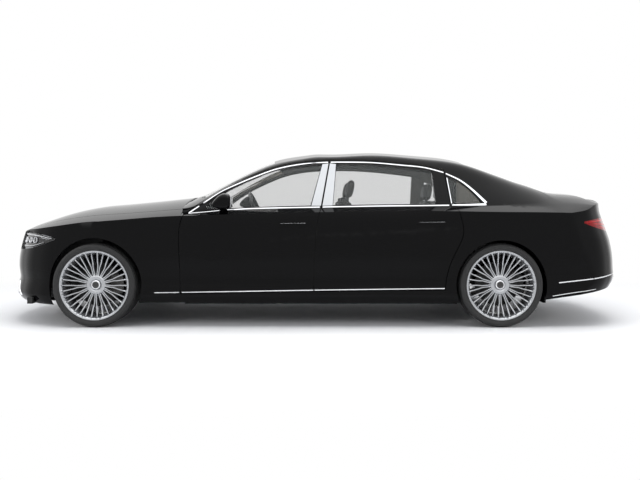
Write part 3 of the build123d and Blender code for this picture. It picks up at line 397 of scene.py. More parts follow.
glass = clear("tinted_safety_glass", "#6E7271", 0.02, 0.13)
lens = clear("clear_polycarbonate_lens", "#26282B", 0.03, 0.12)
red_lens, tree, shader, place = shaded("red_acrylic_lens", "#7A0206", 0.12, Coat_Weight=0.6,
                                       Coat_Roughness=0.03, Coat_IOR=1.25, Specular_IOR_Level=0.1)
ribs_wave = add_node(tree, "ShaderNodeTexWave", [("Vector", place)], Scale=60.0, bands_direction="Z")
relief = add_node(tree, "ShaderNodeBump", [("Height", ribs_wave.outputs["Fac"])], Strength=0.2,
                  Distance=0.001)
tree.links.new(relief.outputs["Normal"], shader.inputs["Normal"])
print("paint, glass and metals ready")

# %% Rubber, plastics, leather and carpet
rubber = finish("moulded_tyre_rubber", "#2A2A2A", (350, (0.6, 0.82), 0.25, 0.0003), Specular_IOR_Level=0.35)
plastic = finish("grained_black_plastic", "#0D0D0E", (700, (0.42, 0.6), 0.35, 0.0002, "ShaderNodeTexVoronoi"))
gloss_black = finish("piano_black_trim", "#050506", (30, (0.06, 0.11)), Coat_Weight=0.6)
leather = finish("perforated_nappa_leather", "#2B2622",
                 (420, (0.4, 0.58), 0.4, 0.0004, "ShaderNodeTexVoronoi"), Specular_IOR_Level=0.4)
carpet = finish("cut_pile_carpet", "#111112", (600, (0.9, 1.0), 0.8, 0.002), Sheen_Weight=0.3)
lining = finish("woven_roof_lining", "#6F6A62", (800, (0.85, 0.95), 0.4, 0.0004), Sheen_Weight=0.2)
SLOT_FINISH = {"body_paint": paint, "window_glass": glass, "lamp_lens": lens, "red_lens": red_lens,
               "bright_trim": chrome, "forged_alloy": alloy, "tyre_rubber": rubber, "cast_metal": cast,
               "frame_metal": satin, "black_plastic": plastic, "steel": steel, "seat_leather": leather}
slot_of = {entry["node"]: entry["material_slot"] for entry in frame["record"]["subparts"]}
for name, obj in nodes.items():
    obj.data.materials.clear()
    obj.data.materials.append(SLOT_FINISH[slot_of[name]])
print(len(bpy.data.materials), "finishes")

# %% Skin the panels
SKINNED = [n for n in nodes if slot_of[n] in ("body_paint", "window_glass", "lamp_lens", "red_lens")
           and "mirror" not in n]
skins = {name: skin(name, SLOT_FINISH[slot_of[name]],
                    GLASS_REACH if slot_of[name] == "window_glass" else PANEL_REACH) for name in SKINNED}
print(len(SKINNED), "panels skinned,", sum(len(panel.data.polygons) for panel in skins.values()), "faces")

# %% [markdown]
# ## Linings
# The inner sides of the shell and the doors are trimmed: carpet on the floor, headlining on the roof and the
# pillars, leather on the doors below their windows.  The faces are chosen by where they are and which way
# they look.
# %% Line the cabin
CABIN_HALF_WIDTH, DOOR_HALF_WIDTH, BOOT_HALF_WIDTH, WAIST_Z = 806, 820, 720, 1004


def line(obj, material, chosen):
    """Give the material to the faces that chosen(centre in millimetres, normal) picks."""
    mesh = obj.data
    mesh.materials.append(material)
    count = 0
    for face in mesh.polygons:
        if chosen(face.center * 1000, face.normal):
            face.material_index = len(mesh.materials) - 1
            count += 1
    return count


def on_floor(at, way):
    """Low in the cabin and looking up, ahead or back."""
    placed = -1100 < at.x < 1300 and abs(at.y) < CABIN_HALF_WIDTH and at.z < 500
    return placed and (way.z > 0.5 or abs(way.x) > 0.7)


def in_boot(at, way):
    """Inside the boot, below its sill, and looking up or inwards."""
    placed = 1350 < at.x < 2560 and abs(at.y) < BOOT_HALF_WIDTH and 300 < at.z < 680
    return placed and (way.z > 0.5 or way.y * at.y < -0.4 * abs(at.y))


def overhead(at, way):
    """Above the waist and looking in at the cabin's middle line."""
    over = at.z - WAIST_Z
    placed = -1000 < at.x < 1950 and over > 0
    return placed and way.y * at.y + way.z * over < -0.25 * math.hypot(at.y, over)


def door_inside(at, way):
    """Below the waist on a door and looking inwards."""
    return way.y * at.y < -0.5 * abs(at.y) and abs(at.y) < DOOR_HALF_WIDTH and at.z <= WAIST_Z


lined = line(skins["body_shell"], carpet, on_floor) + line(skins["body_shell"], lining, overhead)
lined += line(skins["body_shell"], carpet, in_boot)
for corner in ("front_left", "front_right", "rear_left", "rear_right"):
    door = skins[corner + "_door"]
    lined += line(door, leather, door_inside) + line(door, lining, overhead)
print(lined, "faces lined")

# %% [markdown]
# ## Points on the body
# Bright trim, pillar plates and lamps all follow the body.  Given a place seen from the side, the car's skin
# is the largest half width at which the point is still inside every surface.  Halving the interval again and
# again finds it, and neighbouring points give the direction in which the skin faces.
# %% Find the skin
def inside(x, y, z):
    """Whether points, in millimetres, lie inside the body."""
    p = np.stack([x, y, z], axis=1)
    held = side_gap(p) <= 0
    front = x < FIREWALL_X
    if front.any():
        held[front] &= (nose_gap(p[front]) <= 0) & (hood_gap(p[front]) <= 0)
    if (~front).any():
        q = p[~front]
        over_waist = np.abs(q[:, 1]) < belt_y(q[:, 0])
        top = np.where(over_waist, cabin_nearest(q)[0], shoulder_gap(q))
        held[~front] &= (tail_gap(q) <= 0) & (top <= 0)
    return held


def last_inside(low, high, count, held_at, halvings):
    """The furthest value between low and high at which each of the points is still inside."""
    low, high = np.full(count, float(low)), np.full(count, float(high))
    for _ in range(halvings):
        middle = (low + high) / 2
        held = held_at(middle)
        low, high = np.where(held, middle, low), np.where(held, high, middle)
    return low


def skin_y(x, z):
    """The half width of the skin at places given by x and z."""
    return last_inside(0, 1000, len(x), lambda y: inside(x, y, z), halvings=15)


def skin_tail(y, z):
    """How far back the tail's skin lies at places given by y and z."""
    return last_inside(2000, 2900, len(y), lambda x: inside(x, y, z), halvings=14)


def slopes(depth, u, z, step=4):
    """How fast a depth grows along each of its two directions."""
    return ((depth(u + step, z) - depth(u - step, z)) / (2 * step),
            (depth(u, z + step) - depth(u, z - step)) / (2 * step))


def faced(at, out, side):
    """Points with their outward unit directions, carried to a side."""
    flip = np.array([1, side, 1])
    return at * flip, out / np.linalg.norm(out, axis=1, keepdims=True) * flip


def skin_points(xz, side=-1):
    """Points of the skin and the directions it faces, side -1 being the left.  In millimetres."""
    x, z = np.array(xz, float).T
    dx, dz = slopes(skin_y, x, z)
    return faced(np.stack([x, skin_y(x, z), z], axis=1), np.stack([-dx, np.ones(len(x)), -dz], axis=1), side)


def tail_points(yz, side=-1):
    """Points of the tail's skin at places given by y and z, y growing towards the side asked for."""
    y, z = np.array(yz, float).T
    dy, dz = slopes(skin_tail, y, z)
    return faced(np.stack([skin_tail(y, z), y, z], axis=1), np.stack([np.ones(len(y)), -dy, -dz], axis=1),
                 side)


def smooth_path(points, step=24.0):
    """A path through points, resampled at an even step."""
    points = np.array(points, float)
    along = np.concatenate([[0], np.cumsum(np.linalg.norm(np.diff(points, axis=0), axis=1))])
    count = max(3, int(along[-1] / step) + 1)
    at = np.linspace(0, along[-1], count)
    if len(points) < 3:
        return np.stack([np.interp(at, along, points[:, i]) for i in range(2)], axis=1)
    return np.stack([through(*zip(along, points[:, i]))(at) for i in range(2)], axis=1)


skin_test = skin_points([(-500, 700), (400, 1300), (2500, 860)])[0]
print("half widths", np.round(np.abs(skin_test[:, 1])).astype(int).tolist())


# %% [markdown]
# ## Bright trim
# The window frames, waist, sills, trunk lid, rear bumper and outlets wear polished strips, and thin red light
# guides cross the tail lamps.  Each is an extrusion bent to the body: a low arch in section, carried along
# its path with its flat back against the skin.  A strip is cut where the panels part, because each length
# travels with its own panel.
# %% Bend a strip to the body
# Points in the arch, how deep its edges lie in the skin, and the gap where a strip is cut, in millimetres.
ARCH_POINTS, BEDDED, CUT_GAP = 7, 0.2, 9


def loft(bm, rings):
    """Faces between neighbouring rings of vertices and a cap at each end, all looking out."""
    count = len(rings[0])
    for a, b in zip(rings, rings[1:]):
        for k in range(count):
            bm.faces.new((a[k], a[(k + 1) % count], b[(k + 1) % count], b[k]))
    bm.faces.new(rings[0])
    bm.faces.new(rings[-1][::-1])
    bmesh.ops.recalc_face_normals(bm, faces=bm.faces)


def strip(name, body, path, width, proud, material, side=-1, sink=1.0, lift=0.0, find=skin_points):
    """A strip along a path on the skin.  The width may be one number or one for each end."""
    at, out = find(smooth_path(path), side)
    at = at + out * lift
    ahead = np.gradient(at, axis=0)
    ahead /= np.linalg.norm(ahead, axis=1, keepdims=True)
    across = np.cross(out, ahead)
    widths = np.linspace(*np.broadcast_to(width, 2), len(at))[:, None]
    rows = []
    for angle in np.linspace(0, math.pi, ARCH_POINTS):
        rows.append(at + across * widths / 2 * math.cos(angle) + out * (proud * math.sin(angle) - BEDDED))
    rows.append(at - across * widths / 2 - out * sink)
    rows.append(at + across * widths / 2 - out * sink)
    bm = bmesh.new()
    loft(bm, [[bm.verts.new(row[i] / 1000) for row in rows] for i in range(len(at))])
    add_piece(name, bm, body, material, 50)


def split_path(points, cuts):
    """A path cut at places along x, as a list of paths with a gap at each cut."""
    dense = smooth_path(points, 12.0)
    bounds = [-BEYOND, *cuts, BEYOND]
    pieces = []
    for low, high in zip(bounds, bounds[1:]):
        piece = [tuple(p) for p in dense if low + CUT_GAP / 2 < p[0] < high - CUT_GAP / 2]
        pieces.append(piece[::2] + ([piece[-1]] if len(piece) % 2 == 0 else []))
    return pieces


# %% Window frames, waist, sills, bumper and lamps
FRAME_LINE = [(-1046, 955), (-920, 1043), (-790, 1132), (-640, 1204), (-502, 1263), (-323, 1331),
              (-141, 1371), (105, 1393), (289, 1395), (453, 1393), (752, 1370), (998, 1341), (1133, 1303)]
WAIST_LINE = [(-1046, 951), (-695, 981), (-195, 998), (73, 1003), (440, 1010), (1075, 1017), (1150, 1018)]
SILL_LINE = [(-1320, 290), (-1100, 293), (8, 312), (1096, 326)]
# Strips that ride on the body: a name, a path in x and z, and a width or one for each end.
BODY_STRIPS = [("quarter_frame", [(1152, 1294), (1273, 1232), (1384, 1134), (1440, 1072), (1468, 1040)],
                (13, 24)),
               ("quarter_waist", [(1175, 1020), (1320, 1022), (1466, 1026)], (12, 22)),
               ("quarter_post", [(1173, 1034), (1157, 1256)], 8),
               ("bumper_blade", [(2052, 371), (2300, 396), (2560, 425)], 9),
               ("bumper_lip", [(1996, 262), (2150, 285), (2380, 312)], 6)]
# Light guides in the tail lamps: a path in x and z, and a width for each end.
LAMP_GUIDES = [([(2302, 875), (2430, 884), (2552, 891)], (2, 6)),
               ([(2360, 862), (2460, 858), (2556, 851)], (2, 5)),
               ([(2440, 838), (2510, 826), (2560, 815)], (2, 5))]
# Strips across the tail, with paths in y and z.
LID_BODY = BODY_OF["trunk_lid"]
TAIL_STRIPS = [("lid_bar", LID_BODY, [(0, 848), (160, 848), (322, 846)], 16),
               ("bumper_rear", "body", [(0, 424), (400, 424), (700, 424), (820, 424)], 9)]
OUTLET_EDGES = [[(540, 352), (700, 352)], [(540, 392), (700, 392)], [(540, 352), (540, 392)],
                [(700, 352), (700, 392)]]
for side, name in SIDES:
    front, rear = f"front_{name}_door_body", f"rear_{name}_door_body"
    for place, path, cuts, bodies, width, proud in (
            ("frame", FRAME_LINE, (139,), (front, rear), 13, 3),
            ("waist", WAIST_LINE, (70,), (front, rear), 13, 3),
            ("sill", SILL_LINE, (-1105, 8), ("body", front, rear), 8, 2.5)):
        for body, piece in zip(bodies, split_path(path, cuts)):
            strip(f"{place}_trim_{body.replace('_body', '')}_{name}", body, piece, width, proud, chrome,
                  side)
    for place, path, width in BODY_STRIPS:
        strip(f"{place}_trim_{name}", "body", path, width, 2.5, chrome, side)
    for place, body, path, width in TAIL_STRIPS:
        strip(f"{place}_trim_{name}", body, path, width, 2.5, chrome, side, lift=-2.2,
              find=tail_points)
    for k, path in enumerate(OUTLET_EDGES):
        strip(f"outlet_trim_{k}_{name}", "body", path, 8, 5, chrome, side, find=tail_points)
    for k, (path, width) in enumerate(LAMP_GUIDES):
        strip(f"tail_lamp_guide_{k}_{name}", "body", path, width, 1.6, lit_red, side)
    for k, z in enumerate((892, 848, 806)):
        strip(f"lid_lamp_guide_{k}_{name}", LID_BODY, [(344, z), (460, z), (574, z)], 5, 1.6, lit_red,
              side, find=tail_points)

# %% [markdown]
# Between the windows the door frames are faced with brushed plates, and a painted plate ends the rear door's
# window.  A plate is a grid stretched over the skin between four corners, lifted a little and given its
# thickness inwards.
# %% Pillar plates
def plate(name, body, corners, proud, thickness, material, slot, side, rows=14, columns=5):
    """A plate on the skin between four corners in x and z: low left, low right, high right, high left."""
    low_left, low_right, high_right, high_left = [np.array(c, float) for c in corners]
    grid = []
    for i in range(rows + 1):
        t = i / rows
        left, right = low_left * (1 - t) + high_left * t, low_right * (1 - t) + high_right * t
        grid += [left * (1 - k / columns) + right * k / columns for k in range(columns + 1)]
    at, out = skin_points(grid, side)
    bm = bmesh.new()
    outer = [bm.verts.new(v / 1000) for v in at + out * proud]
    inner = [bm.verts.new(v / 1000) for v in at + out * (proud - thickness)]
    wide = columns + 1
    for i in range(rows):
        for k in range(columns):
            a = i * wide + k
            for sheet in (outer, inner):
                bm.faces.new((sheet[a], sheet[a + 1], sheet[a + wide + 1], sheet[a + wide]))
    ring = [*range(columns), *(i * wide + columns for i in range(rows)),
            *(rows * wide + k for k in range(columns, 0, -1)), *(i * wide for i in range(rows, 0, -1))]
    for a, b in zip(ring, ring[1:] + ring[:1]):
        bm.faces.new((outer[a], outer[b], inner[b], inner[a]))
    bmesh.ops.recalc_face_normals(bm, faces=bm.faces)
    add_piece(name, bm, body, material, 40)


# Each row holds a name, the door's end, the corners, proud, thickness, material and slot.
DOOR_PLATES = [("front_pillar", "front", [(-14, 1014), (66, 1014), (133, 1384), (80, 1376)],
                1.2, 2.5, brushed, "bright_trim"),
               ("rear_pillar", "rear", [(80, 1014), (166, 1016), (198, 1378), (146, 1384)],
                1.2, 2.5, brushed, "bright_trim"),
               ("door_tail", "rear", [(1044, 1030), (1152, 1034), (1128, 1294), (1036, 1312)],
                0.8, 2.0, paint, "body_paint")]
for side, name in SIDES:
    for place, end, *rest in DOOR_PLATES:
        plate(f"{place}_plate_{name}", f"{end}_{name}_door_body", *rest, side)
    for end, path in (("front", [(-271, 867), (-61, 869)]), ("rear", [(885, 877), (1095, 879)])):
        strip(f"{end}_pull_edge_{name}", f"{end}_{name}_door_body", path, 4.5, 8.6, chrome,
              side, sink=-5)
print("plates and door pulls faced")

# %% [markdown]
# ## Tyres and wheel centres
# A low tyre has a broad flat tread and short, round-shouldered walls.  The carcass is a turned profile with
# the rim guard and the moulded rings of the wall.  The tread blocks repeat all the way round, so Geometry
# Nodes place them: a ring of points carries one block each, and a short line of points carries the rings.
# %% Turn a profile about an axle
def turned(profile, centre, segments=128, outward=-1):
    """A bmesh of a closed (radius, offset) profile in metres, turned about Y at a centre."""
    bm = bmesh.new()
    rings = []
    for k in range(segments):
        angle = 2 * math.pi * k / segments
        rings.append([bm.verts.new((centre[0] + r * math.cos(angle), centre[1] + outward * y,
                                    centre[2] + r * math.sin(angle))) for r, y in profile])
    for a, b in zip(rings, rings[1:] + rings[:1]):
        for i in range(len(profile)):
            j = (i + 1) % len(profile)
            if profile[i][0] > 1e-6 or profile[j][0] > 1e-6:
                bm.faces.new((a[i], a[j], b[j], b[i]))
    bmesh.ops.remove_doubles(bm, verts=bm.verts, dist=1e-6)
    bmesh.ops.recalc_face_normals(bm, faces=bm.faces)
    return bm


WALL = [(0.2784, 0.1034), (0.2906, 0.1073), (0.2925, 0.1140), (0.2960, 0.1180), (0.3000, 0.1184),
        (0.3030, 0.1195), (0.3045, 0.1218), (0.3085, 0.1248), (0.3150, 0.1266), (0.3220, 0.1274),
        (0.3232, 0.1266), (0.3244, 0.1274), (0.3300, 0.1262), (0.3312, 0.1252), (0.3324, 0.1252),
        (0.3380, 0.1216), (0.3425, 0.1150), (0.3440, 0.1060)]
INNER_FACE = [(0.2784, -0.088), (0.32, -0.1), (0.334, -0.08), (0.334, 0.08), (0.32, 0.1), (0.2784, 0.088)]
CARCASS = WALL + [(r, -y) for r, y in reversed(WALL)] + INNER_FACE
TRACK_HALF, WHEEL_RADIUS = 0.815, 0.35
CENTRES = {}
for end, axle_x in (("front", -1.8245), ("rear", 1.5715)):
    for side, name in SIDES:
        CENTRES[f"{end}_{name}"] = (axle_x, TRACK_HALF * side, WHEEL_RADIUS, side)
print("carcass of", len(CARCASS), "points")


# %% Tread blocks
def socket(tree, name, kind, value):
    """A named input of a node tree, with its starting value.  Returns its identifier."""
    item = tree.interface.new_socket(name=name, in_out="INPUT", socket_type=kind)
    if value is not None:
        item.default_value = value
    return item.identifier


ROW_PITCH, ROWS, ROW_TURN = 0.0405, 5, 0.031
tread = bpy.data.node_groups.new("tread_blocks", "GeometryNodeTree")
socket(tread, "Blocks round", "NodeSocketInt", 76)
socket(tread, "Ring radius", "NodeSocketFloat", 0.3463)
socket(tread, "Rows", "NodeSocketInt", ROWS)
socket(tread, "Row pitch", "NodeSocketVector", (0.0, ROW_PITCH, 0.0))
socket(tread, "Block size", "NodeSocketVector", (0.034, 0.025, 0.0066))
finish_in = socket(tread, "Finish", "NodeSocketMaterial", None)
tread.interface.new_socket(name="Geometry", in_out="OUTPUT", socket_type="NodeSocketGeometry")
given = tread.nodes.new("NodeGroupInput").outputs
circle = add_node(tread, "GeometryNodeMeshCircle", [("Vertices", given["Blocks round"]),
                                                    ("Radius", given["Ring radius"])])
upright = add_node(tread, "GeometryNodeTransform", [("Geometry", circle.outputs["Mesh"])],
                   Rotation=(math.pi / 2, 0, 0))
where = add_node(tread, "GeometryNodeInputPosition")
aim = add_node(tread, "FunctionNodeAlignRotationToVector", [("Vector", where.outputs["Position"])], axis="Z",
               pivot_axis="Y")
block = add_node(tread, "GeometryNodeMeshCube", [("Size", given["Block size"])])
ring = add_node(tread, "GeometryNodeInstanceOnPoints",
                [("Points", upright.outputs["Geometry"]), ("Instance", block.outputs["Mesh"]),
                 ("Rotation", aim.outputs["Rotation"])])
row_line = add_node(tread, "GeometryNodeMeshLine", [("Count", given["Rows"]), ("Offset", given["Row pitch"])])
number = add_node(tread, "GeometryNodeInputIndex")
turn = add_node(tread, "ShaderNodeMath", [(0, number.outputs["Index"])], operation="MULTIPLY")
turn.inputs[1].default_value = ROW_TURN
phase = add_node(tread, "ShaderNodeCombineXYZ", [("Y", turn.outputs["Value"])])
rows = add_node(tread, "GeometryNodeInstanceOnPoints",
                [("Points", row_line.outputs["Mesh"]), ("Instance", ring.outputs["Instances"]),
                 ("Rotation", phase.outputs["Vector"])])
real = add_node(tread, "GeometryNodeRealizeInstances", [("Geometry", rows.outputs["Instances"])])
coated = add_node(tread, "GeometryNodeSetMaterial", [("Geometry", real.outputs["Geometry"]),
                                                     ("Material", given["Finish"])])
out = tread.nodes.new("NodeGroupOutput")
tread.links.new(coated.outputs["Geometry"], out.inputs["Geometry"])


def made_mesh(obj):
    """The plain mesh of an object, as its modifiers make it."""
    return bpy.data.meshes.new_from_object(obj.evaluated_get(bpy.context.evaluated_depsgraph_get()))


def grown_mesh(name, tree, values):
    """The plain mesh that a node tree makes."""
    host = bpy.data.objects.new(name + "_host", bpy.data.meshes.new(name + "_host"))
    scene.collection.objects.link(host)
    modifier = host.modifiers.new("make", "NODES")
    modifier.node_group = tree
    for key, value in values.items():
        modifier[key] = value
    bpy.context.view_layer.update()
    mesh = made_mesh(host)
    host.modifiers.remove(modifier)
    bpy.data.objects.remove(host)
    return mesh


block_mesh = grown_mesh("tread", tread, {finish_in: rubber})
print("tread of", len(block_mesh.polygons), "faces")

# %% Tyres, caps and rings
CAP = [(0.0, 0.0744), (0.012, 0.0740), (0.0235, 0.0728), (0.0275, 0.0712), (0.0275, 0.069), (0.0, 0.069)]
CAP_RING = [(0.0275, 0.069), (0.0275, 0.0735), (0.0290, 0.0752), (0.0325, 0.0756), (0.0365, 0.0742),
            (0.039, 0.0715), (0.039, 0.067), (0.0285, 0.067)]
for corner, (x, y, z, side) in CENTRES.items():
    body = BODY_OF[corner + "_wheel"]
    bm = turned(CARCASS, (x, y, z), outward=side)
    rows_mesh = block_mesh.copy()
    rows_mesh.transform(Matrix.Translation((x, y - ROW_PITCH * (ROWS - 1) / 2, z)))
    bm.from_mesh(rows_mesh)
    tyre = add_piece(corner + "_tyre_tread", bm, body, rubber, 40, corner + "_tyre")
    for part, profile, material, slot in (("cap", CAP, gloss_black, "black_plastic"),
                                          ("cap_ring", CAP_RING, chrome, "bright_trim")):
        add_piece(f"{corner}_{part}", turned(profile, (x, y, z), 96, side), body, material, 35)
print("4 tyres,", len(tyre.data.polygons), "faces each")

# %% Smooth copies of turned and rounded parts
# Turned metal is smooth round its axis and sharp at its corners, so each part is copied with its
# triangles merged and is shaded smooth wherever two faces meet at less than 32 degrees.
MADE_ELSEWHERE = {"front_seats", "rear_seats", "exhaust", "left_mirror", "right_mirror", *SKINNED,
                  *(corner + "_tyre" for corner in CENTRES)}
SMOOTHED = [n for n in nodes if n not in MADE_ELSEWHERE]
for node in SMOOTHED:
    add_piece(node + "_smooth", welded_copy(node), BODY_OF[node], SLOT_FINISH[slot_of[node]],
              32, node)
print(len(SMOOTHED), "parts smoothed")

# %% [markdown]
# ## Seats
# A car seat is foam under stretched leather.  Each pad starts as a rounded block a little smaller than the
# real one.  It is remeshed evenly and blown up gently as cloth, which crowns its faces and draws its sides
# in, and then the cushions get their sewn channels, pressed in along their lines.
# %% Inflate a pad
CHANNEL_PLACES, CHANNEL_DEPTH, CHANNEL_WIDTH = (-0.12, -0.04, 0.04, 0.12), 0.006, 0.007
# A pad may swell by SWELL from its block, but only SPARE beyond the size asked for.
PAD_BEVEL, SWELL, SPARE, PUFF_FORCE, PUFF_FRAMES = 0.035, 0.024, 0.004, 4, 20


def rounded_block(size, bevel, centre=(0, 0, 0)):
    """A bmesh of a block about a centre with rounded edges."""
    bm = bmesh.new()
    bmesh.ops.create_cube(bm, size=1)
    bmesh.ops.scale(bm, vec=size, verts=bm.verts)
    bmesh.ops.bevel(bm, geom=bm.edges, offset=bevel, segments=3, profile=0.5, affect="EDGES")
    bmesh.ops.translate(bm, vec=centre, verts=bm.verts)
    return bm


def pressed(mesh, thin):
    """Sewn channels from the front of a pad to its back, pressed in on its upper face."""
    for vertex in mesh.vertices:
        co = vertex.co
        if co[thin] < 0:
            continue
        push = sum(math.exp(-((co.y - at) / CHANNEL_WIDTH) ** 2) for at in CHANNEL_PLACES)
        co[thin] -= CHANNEL_DEPTH * min(push, 1.2)


def pad(name, size, turn, centre, thin, sewn=False, stands_for=None):
    """A padded piece.  Thin is the axis of its thickness, and the pad's front is that axis' high side."""
    bm = rounded_block([s - 0.6 * SWELL for s in size], PAD_BEVEL)
    mesh = bpy.data.meshes.new(name)
    bm.to_mesh(mesh)
    bm.free()
    work = bpy.data.objects.new(name, mesh)
    scene.collection.objects.link(work)
    remesh = work.modifiers.new("even", "REMESH")
    remesh.mode, remesh.voxel_size = "VOXEL", 0.012
    bpy.context.view_layer.update()
    even = made_mesh(work)
    work.modifiers.remove(remesh)
    work.data = even
    start = np.array([v.co[:] for v in even.vertices])
    cloth = work.modifiers.new("swell", "CLOTH")
    cloth.settings.use_pressure = True
    cloth.settings.uniform_pressure_force = PUFF_FORCE
    cloth.settings.effector_weights.gravity = 0
    cloth.point_cache.frame_start, cloth.point_cache.frame_end = 1, PUFF_FRAMES
    for frame_number in range(1, PUFF_FRAMES + 1):
        scene.frame_set(frame_number)
    move = np.array([v.co[:] for v in made_mesh(work).vertices]) - start
    far = np.linalg.norm(move, axis=1, keepdims=True)
    start += move * np.minimum(1, SWELL / np.maximum(far, TINY))
    work.modifiers.remove(cloth)
    scene.frame_set(1)
    half = np.array(size) / 2 + SPARE
    even.vertices.foreach_set("co", np.clip(start, -half, half).ravel())
    if sewn:
        pressed(even, thin)
    even.transform(Matrix.Translation(centre) @ Matrix.Rotation(turn, 4, "Y"))
    bm = bmesh.new()
    bm.from_mesh(even)
    for vertex in bm.verts:
        vertex.normal_update()
    bmesh.ops.smooth_vert(bm, verts=bm.verts, factor=0.3, use_axis_x=True, use_axis_y=True, use_axis_z=True)
    bpy.data.objects.remove(work)
    obj = add_piece(name, bm, "body", leather, 180, stands_for)
    detail = obj.modifiers.new("fine", "SUBSURF")
    detail.levels = detail.render_levels = 1


def seat_base(name, boxes, stands_for):
    """The hard base of a seat: rounded boxes, each with its size and centre."""
    bm = bmesh.new()
    for size, centre in boxes:
        piece = rounded_block(size, 0.012, centre)
        mesh = bpy.data.meshes.new("seat_base_part")
        piece.to_mesh(mesh)
        piece.free()
        bm.from_mesh(mesh)
    add_piece(name, bm, "body", plastic, 40, stands_for)


# Each row of seats has its distance from the middle line, its pads and the boxes of its base.  A pad has a
# part's name, a size, a tilt in degrees, a place in x and z, its thin axis and whether it is sewn.
SEATS = {
    "front": (0.385, [("seat_cushion", (0.52, 0.44, 0.115), 0, (-0.065, 0.463), 2, True),
                      ("seat_back", (0.125, 0.44, 0.60), 20, (0.205, 0.80), 0, False),
                      ("headrest", (0.078, 0.25, 0.18), 12, (0.33, 1.165), 0, False)],
              [((0.40, 0.35, 0.17), (-0.05, 0.321)), ((0.05, 0.36, 0.5), (0.27, 0.84)),
               ((0.02, 0.09, 0.14), (0.31, 1.06))]),
    "rear": (0.405, [("seat_cushion", (0.54, 0.56, 0.17), 0, (0.83, 0.415), 2, True),
                     ("seat_back", (0.145, 0.55, 0.64), 22, (1.08, 0.78), 0, False),
                     ("headrest", (0.088, 0.28, 0.19), 10, (1.15, 1.15), 0, False)],
             [((0.52, 0.54, 0.1), (0.83, 0.288)), ((0.02, 0.1, 0.14), (1.15, 1.05))])}
for side, name in SIDES:
    for row, (out_y, pads, boxes) in SEATS.items():
        y = out_y * side
        for part, size, tilt, (x, z), thin, sewn in pads:
            pad(f"{row}_{name}_{part}", size, math.radians(tilt), (x, y, z), thin, sewn, row + "_seats")
        seat_base(f"{row}_{name}_seat_base", [(size, (x, y, z)) for size, (x, z) in boxes], row + "_seats")
print("4 seats padded")

# %% [markdown]
# ## Cabin and engine fittings
# The dashboard is faced with one wide dark screen over a walnut band, with four slotted vents.  Each door has
# an armrest under its window, the console has a padded one, and the engine wears a ribbed cover.
# %% Fittings
walnut, tree, shader, place = shaded("walnut_veneer", "#3A2114", 0.3, Coat_Weight=0.7, Coat_IOR=1.4)
figure = add_node(tree, "ShaderNodeTexWave", [("Vector", place)], Scale=14.0, Distortion=6.0,
                  bands_direction="Z")
tones = add_node(tree, "ShaderNodeMix", [(0, figure.outputs["Fac"])], data_type="RGBA")
tones.inputs[6].default_value, tones.inputs[7].default_value = linear("#2A170D"), linear("#553220")
tree.links.new(tones.outputs[2], shader.inputs["Base Color"])


def fitting(name, size, centre, bevel, material, body="body"):
    """A hard fitting shaped as a rounded block."""
    add_piece(name, rounded_block(size, bevel, centre), body, material)


DASH_X = -0.655
fitting("dashboard_screen", (0.016, 1.16, 0.12), (DASH_X, -0.11, 0.86), 0.005, gloss_black)
fitting("dashboard_band", (0.014, 1.50, 0.06), (-0.656, 0, 0.705), 0.004, walnut)
fitting("console_lid", (0.36, 0.17, 0.008), (-0.42, 0, 0.563), 0.003, walnut)
for k, y in enumerate((-0.68, -0.12, 0.12, 0.68)):
    fitting(f"vent_frame_{k}", (0.014, 0.14, 0.034), (DASH_X, y, 0.765), 0.004, chrome)
    fitting(f"vent_slots_{k}", (0.018, 0.126, 0.022), (DASH_X, y, 0.765), 0.002, gloss_black)
pad("console_armrest", (0.42, 0.18, 0.06), 0, (0.02, 0, 0.592), 2)
for side, name in SIDES:
    for row, x in (("front", -0.46), ("rear", 0.55)):
        door_body = f"{row}_{name}_door_body"
        fitting(f"{row}_{name}_armrest", (0.56, 0.062, 0.05), (x, 0.778 * side, 0.70), 0.014, leather,
                door_body)
        fitting(f"{row}_{name}_door_band", (0.60, 0.012, 0.06), (x, 0.803 * side, 0.86), 0.004, walnut,
                door_body)
fitting("engine_cover", (0.60, 0.42, 0.04), (-1.80, 0, 0.848), 0.014, gloss_black)
for k in range(5):
    fitting(f"engine_cover_rib_{k}", (0.5, 0.016, 0.01), (-1.80, -0.12 + 0.06 * k, 0.868), 0.004, steel)
print("cabin and engine fitted")

# %% [markdown]
# ## Lamps
# Behind a headlamp's clear cover is a black housing.  It holds a light bar along its top, shorter ones below
# and behind, and three round projectors, each a bright ring with a dark glass in it.  Every part is laid a
# set depth below the skin, inside the clear block, so that it follows the sweep of the corner.
# %% Headlamp insides
def facing(bm, at, out):
    """Turn a bmesh that faces -Y at the origin to face another way, and carry it there."""
    turn = Vector((0, -1, 0)).rotation_difference(Vector(out)).to_matrix().to_4x4()
    bmesh.ops.transform(bm, matrix=Matrix.Translation(Vector(at)) @ turn, verts=bm.verts)
    return bm


PROJECTOR_RING = [(0.0215, 0.0), (0.0215, 0.010), (0.0235, 0.0125), (0.0262, 0.0120), (0.028, 0.008),
                  (0.028, 0.0)]
PROJECTOR_GLASS = [(0.0, 0.0085), (0.010, 0.0078), (0.017, 0.0055), (0.0215, 0.002), (0.0215, 0.0),
                   (0.0, 0.0)]
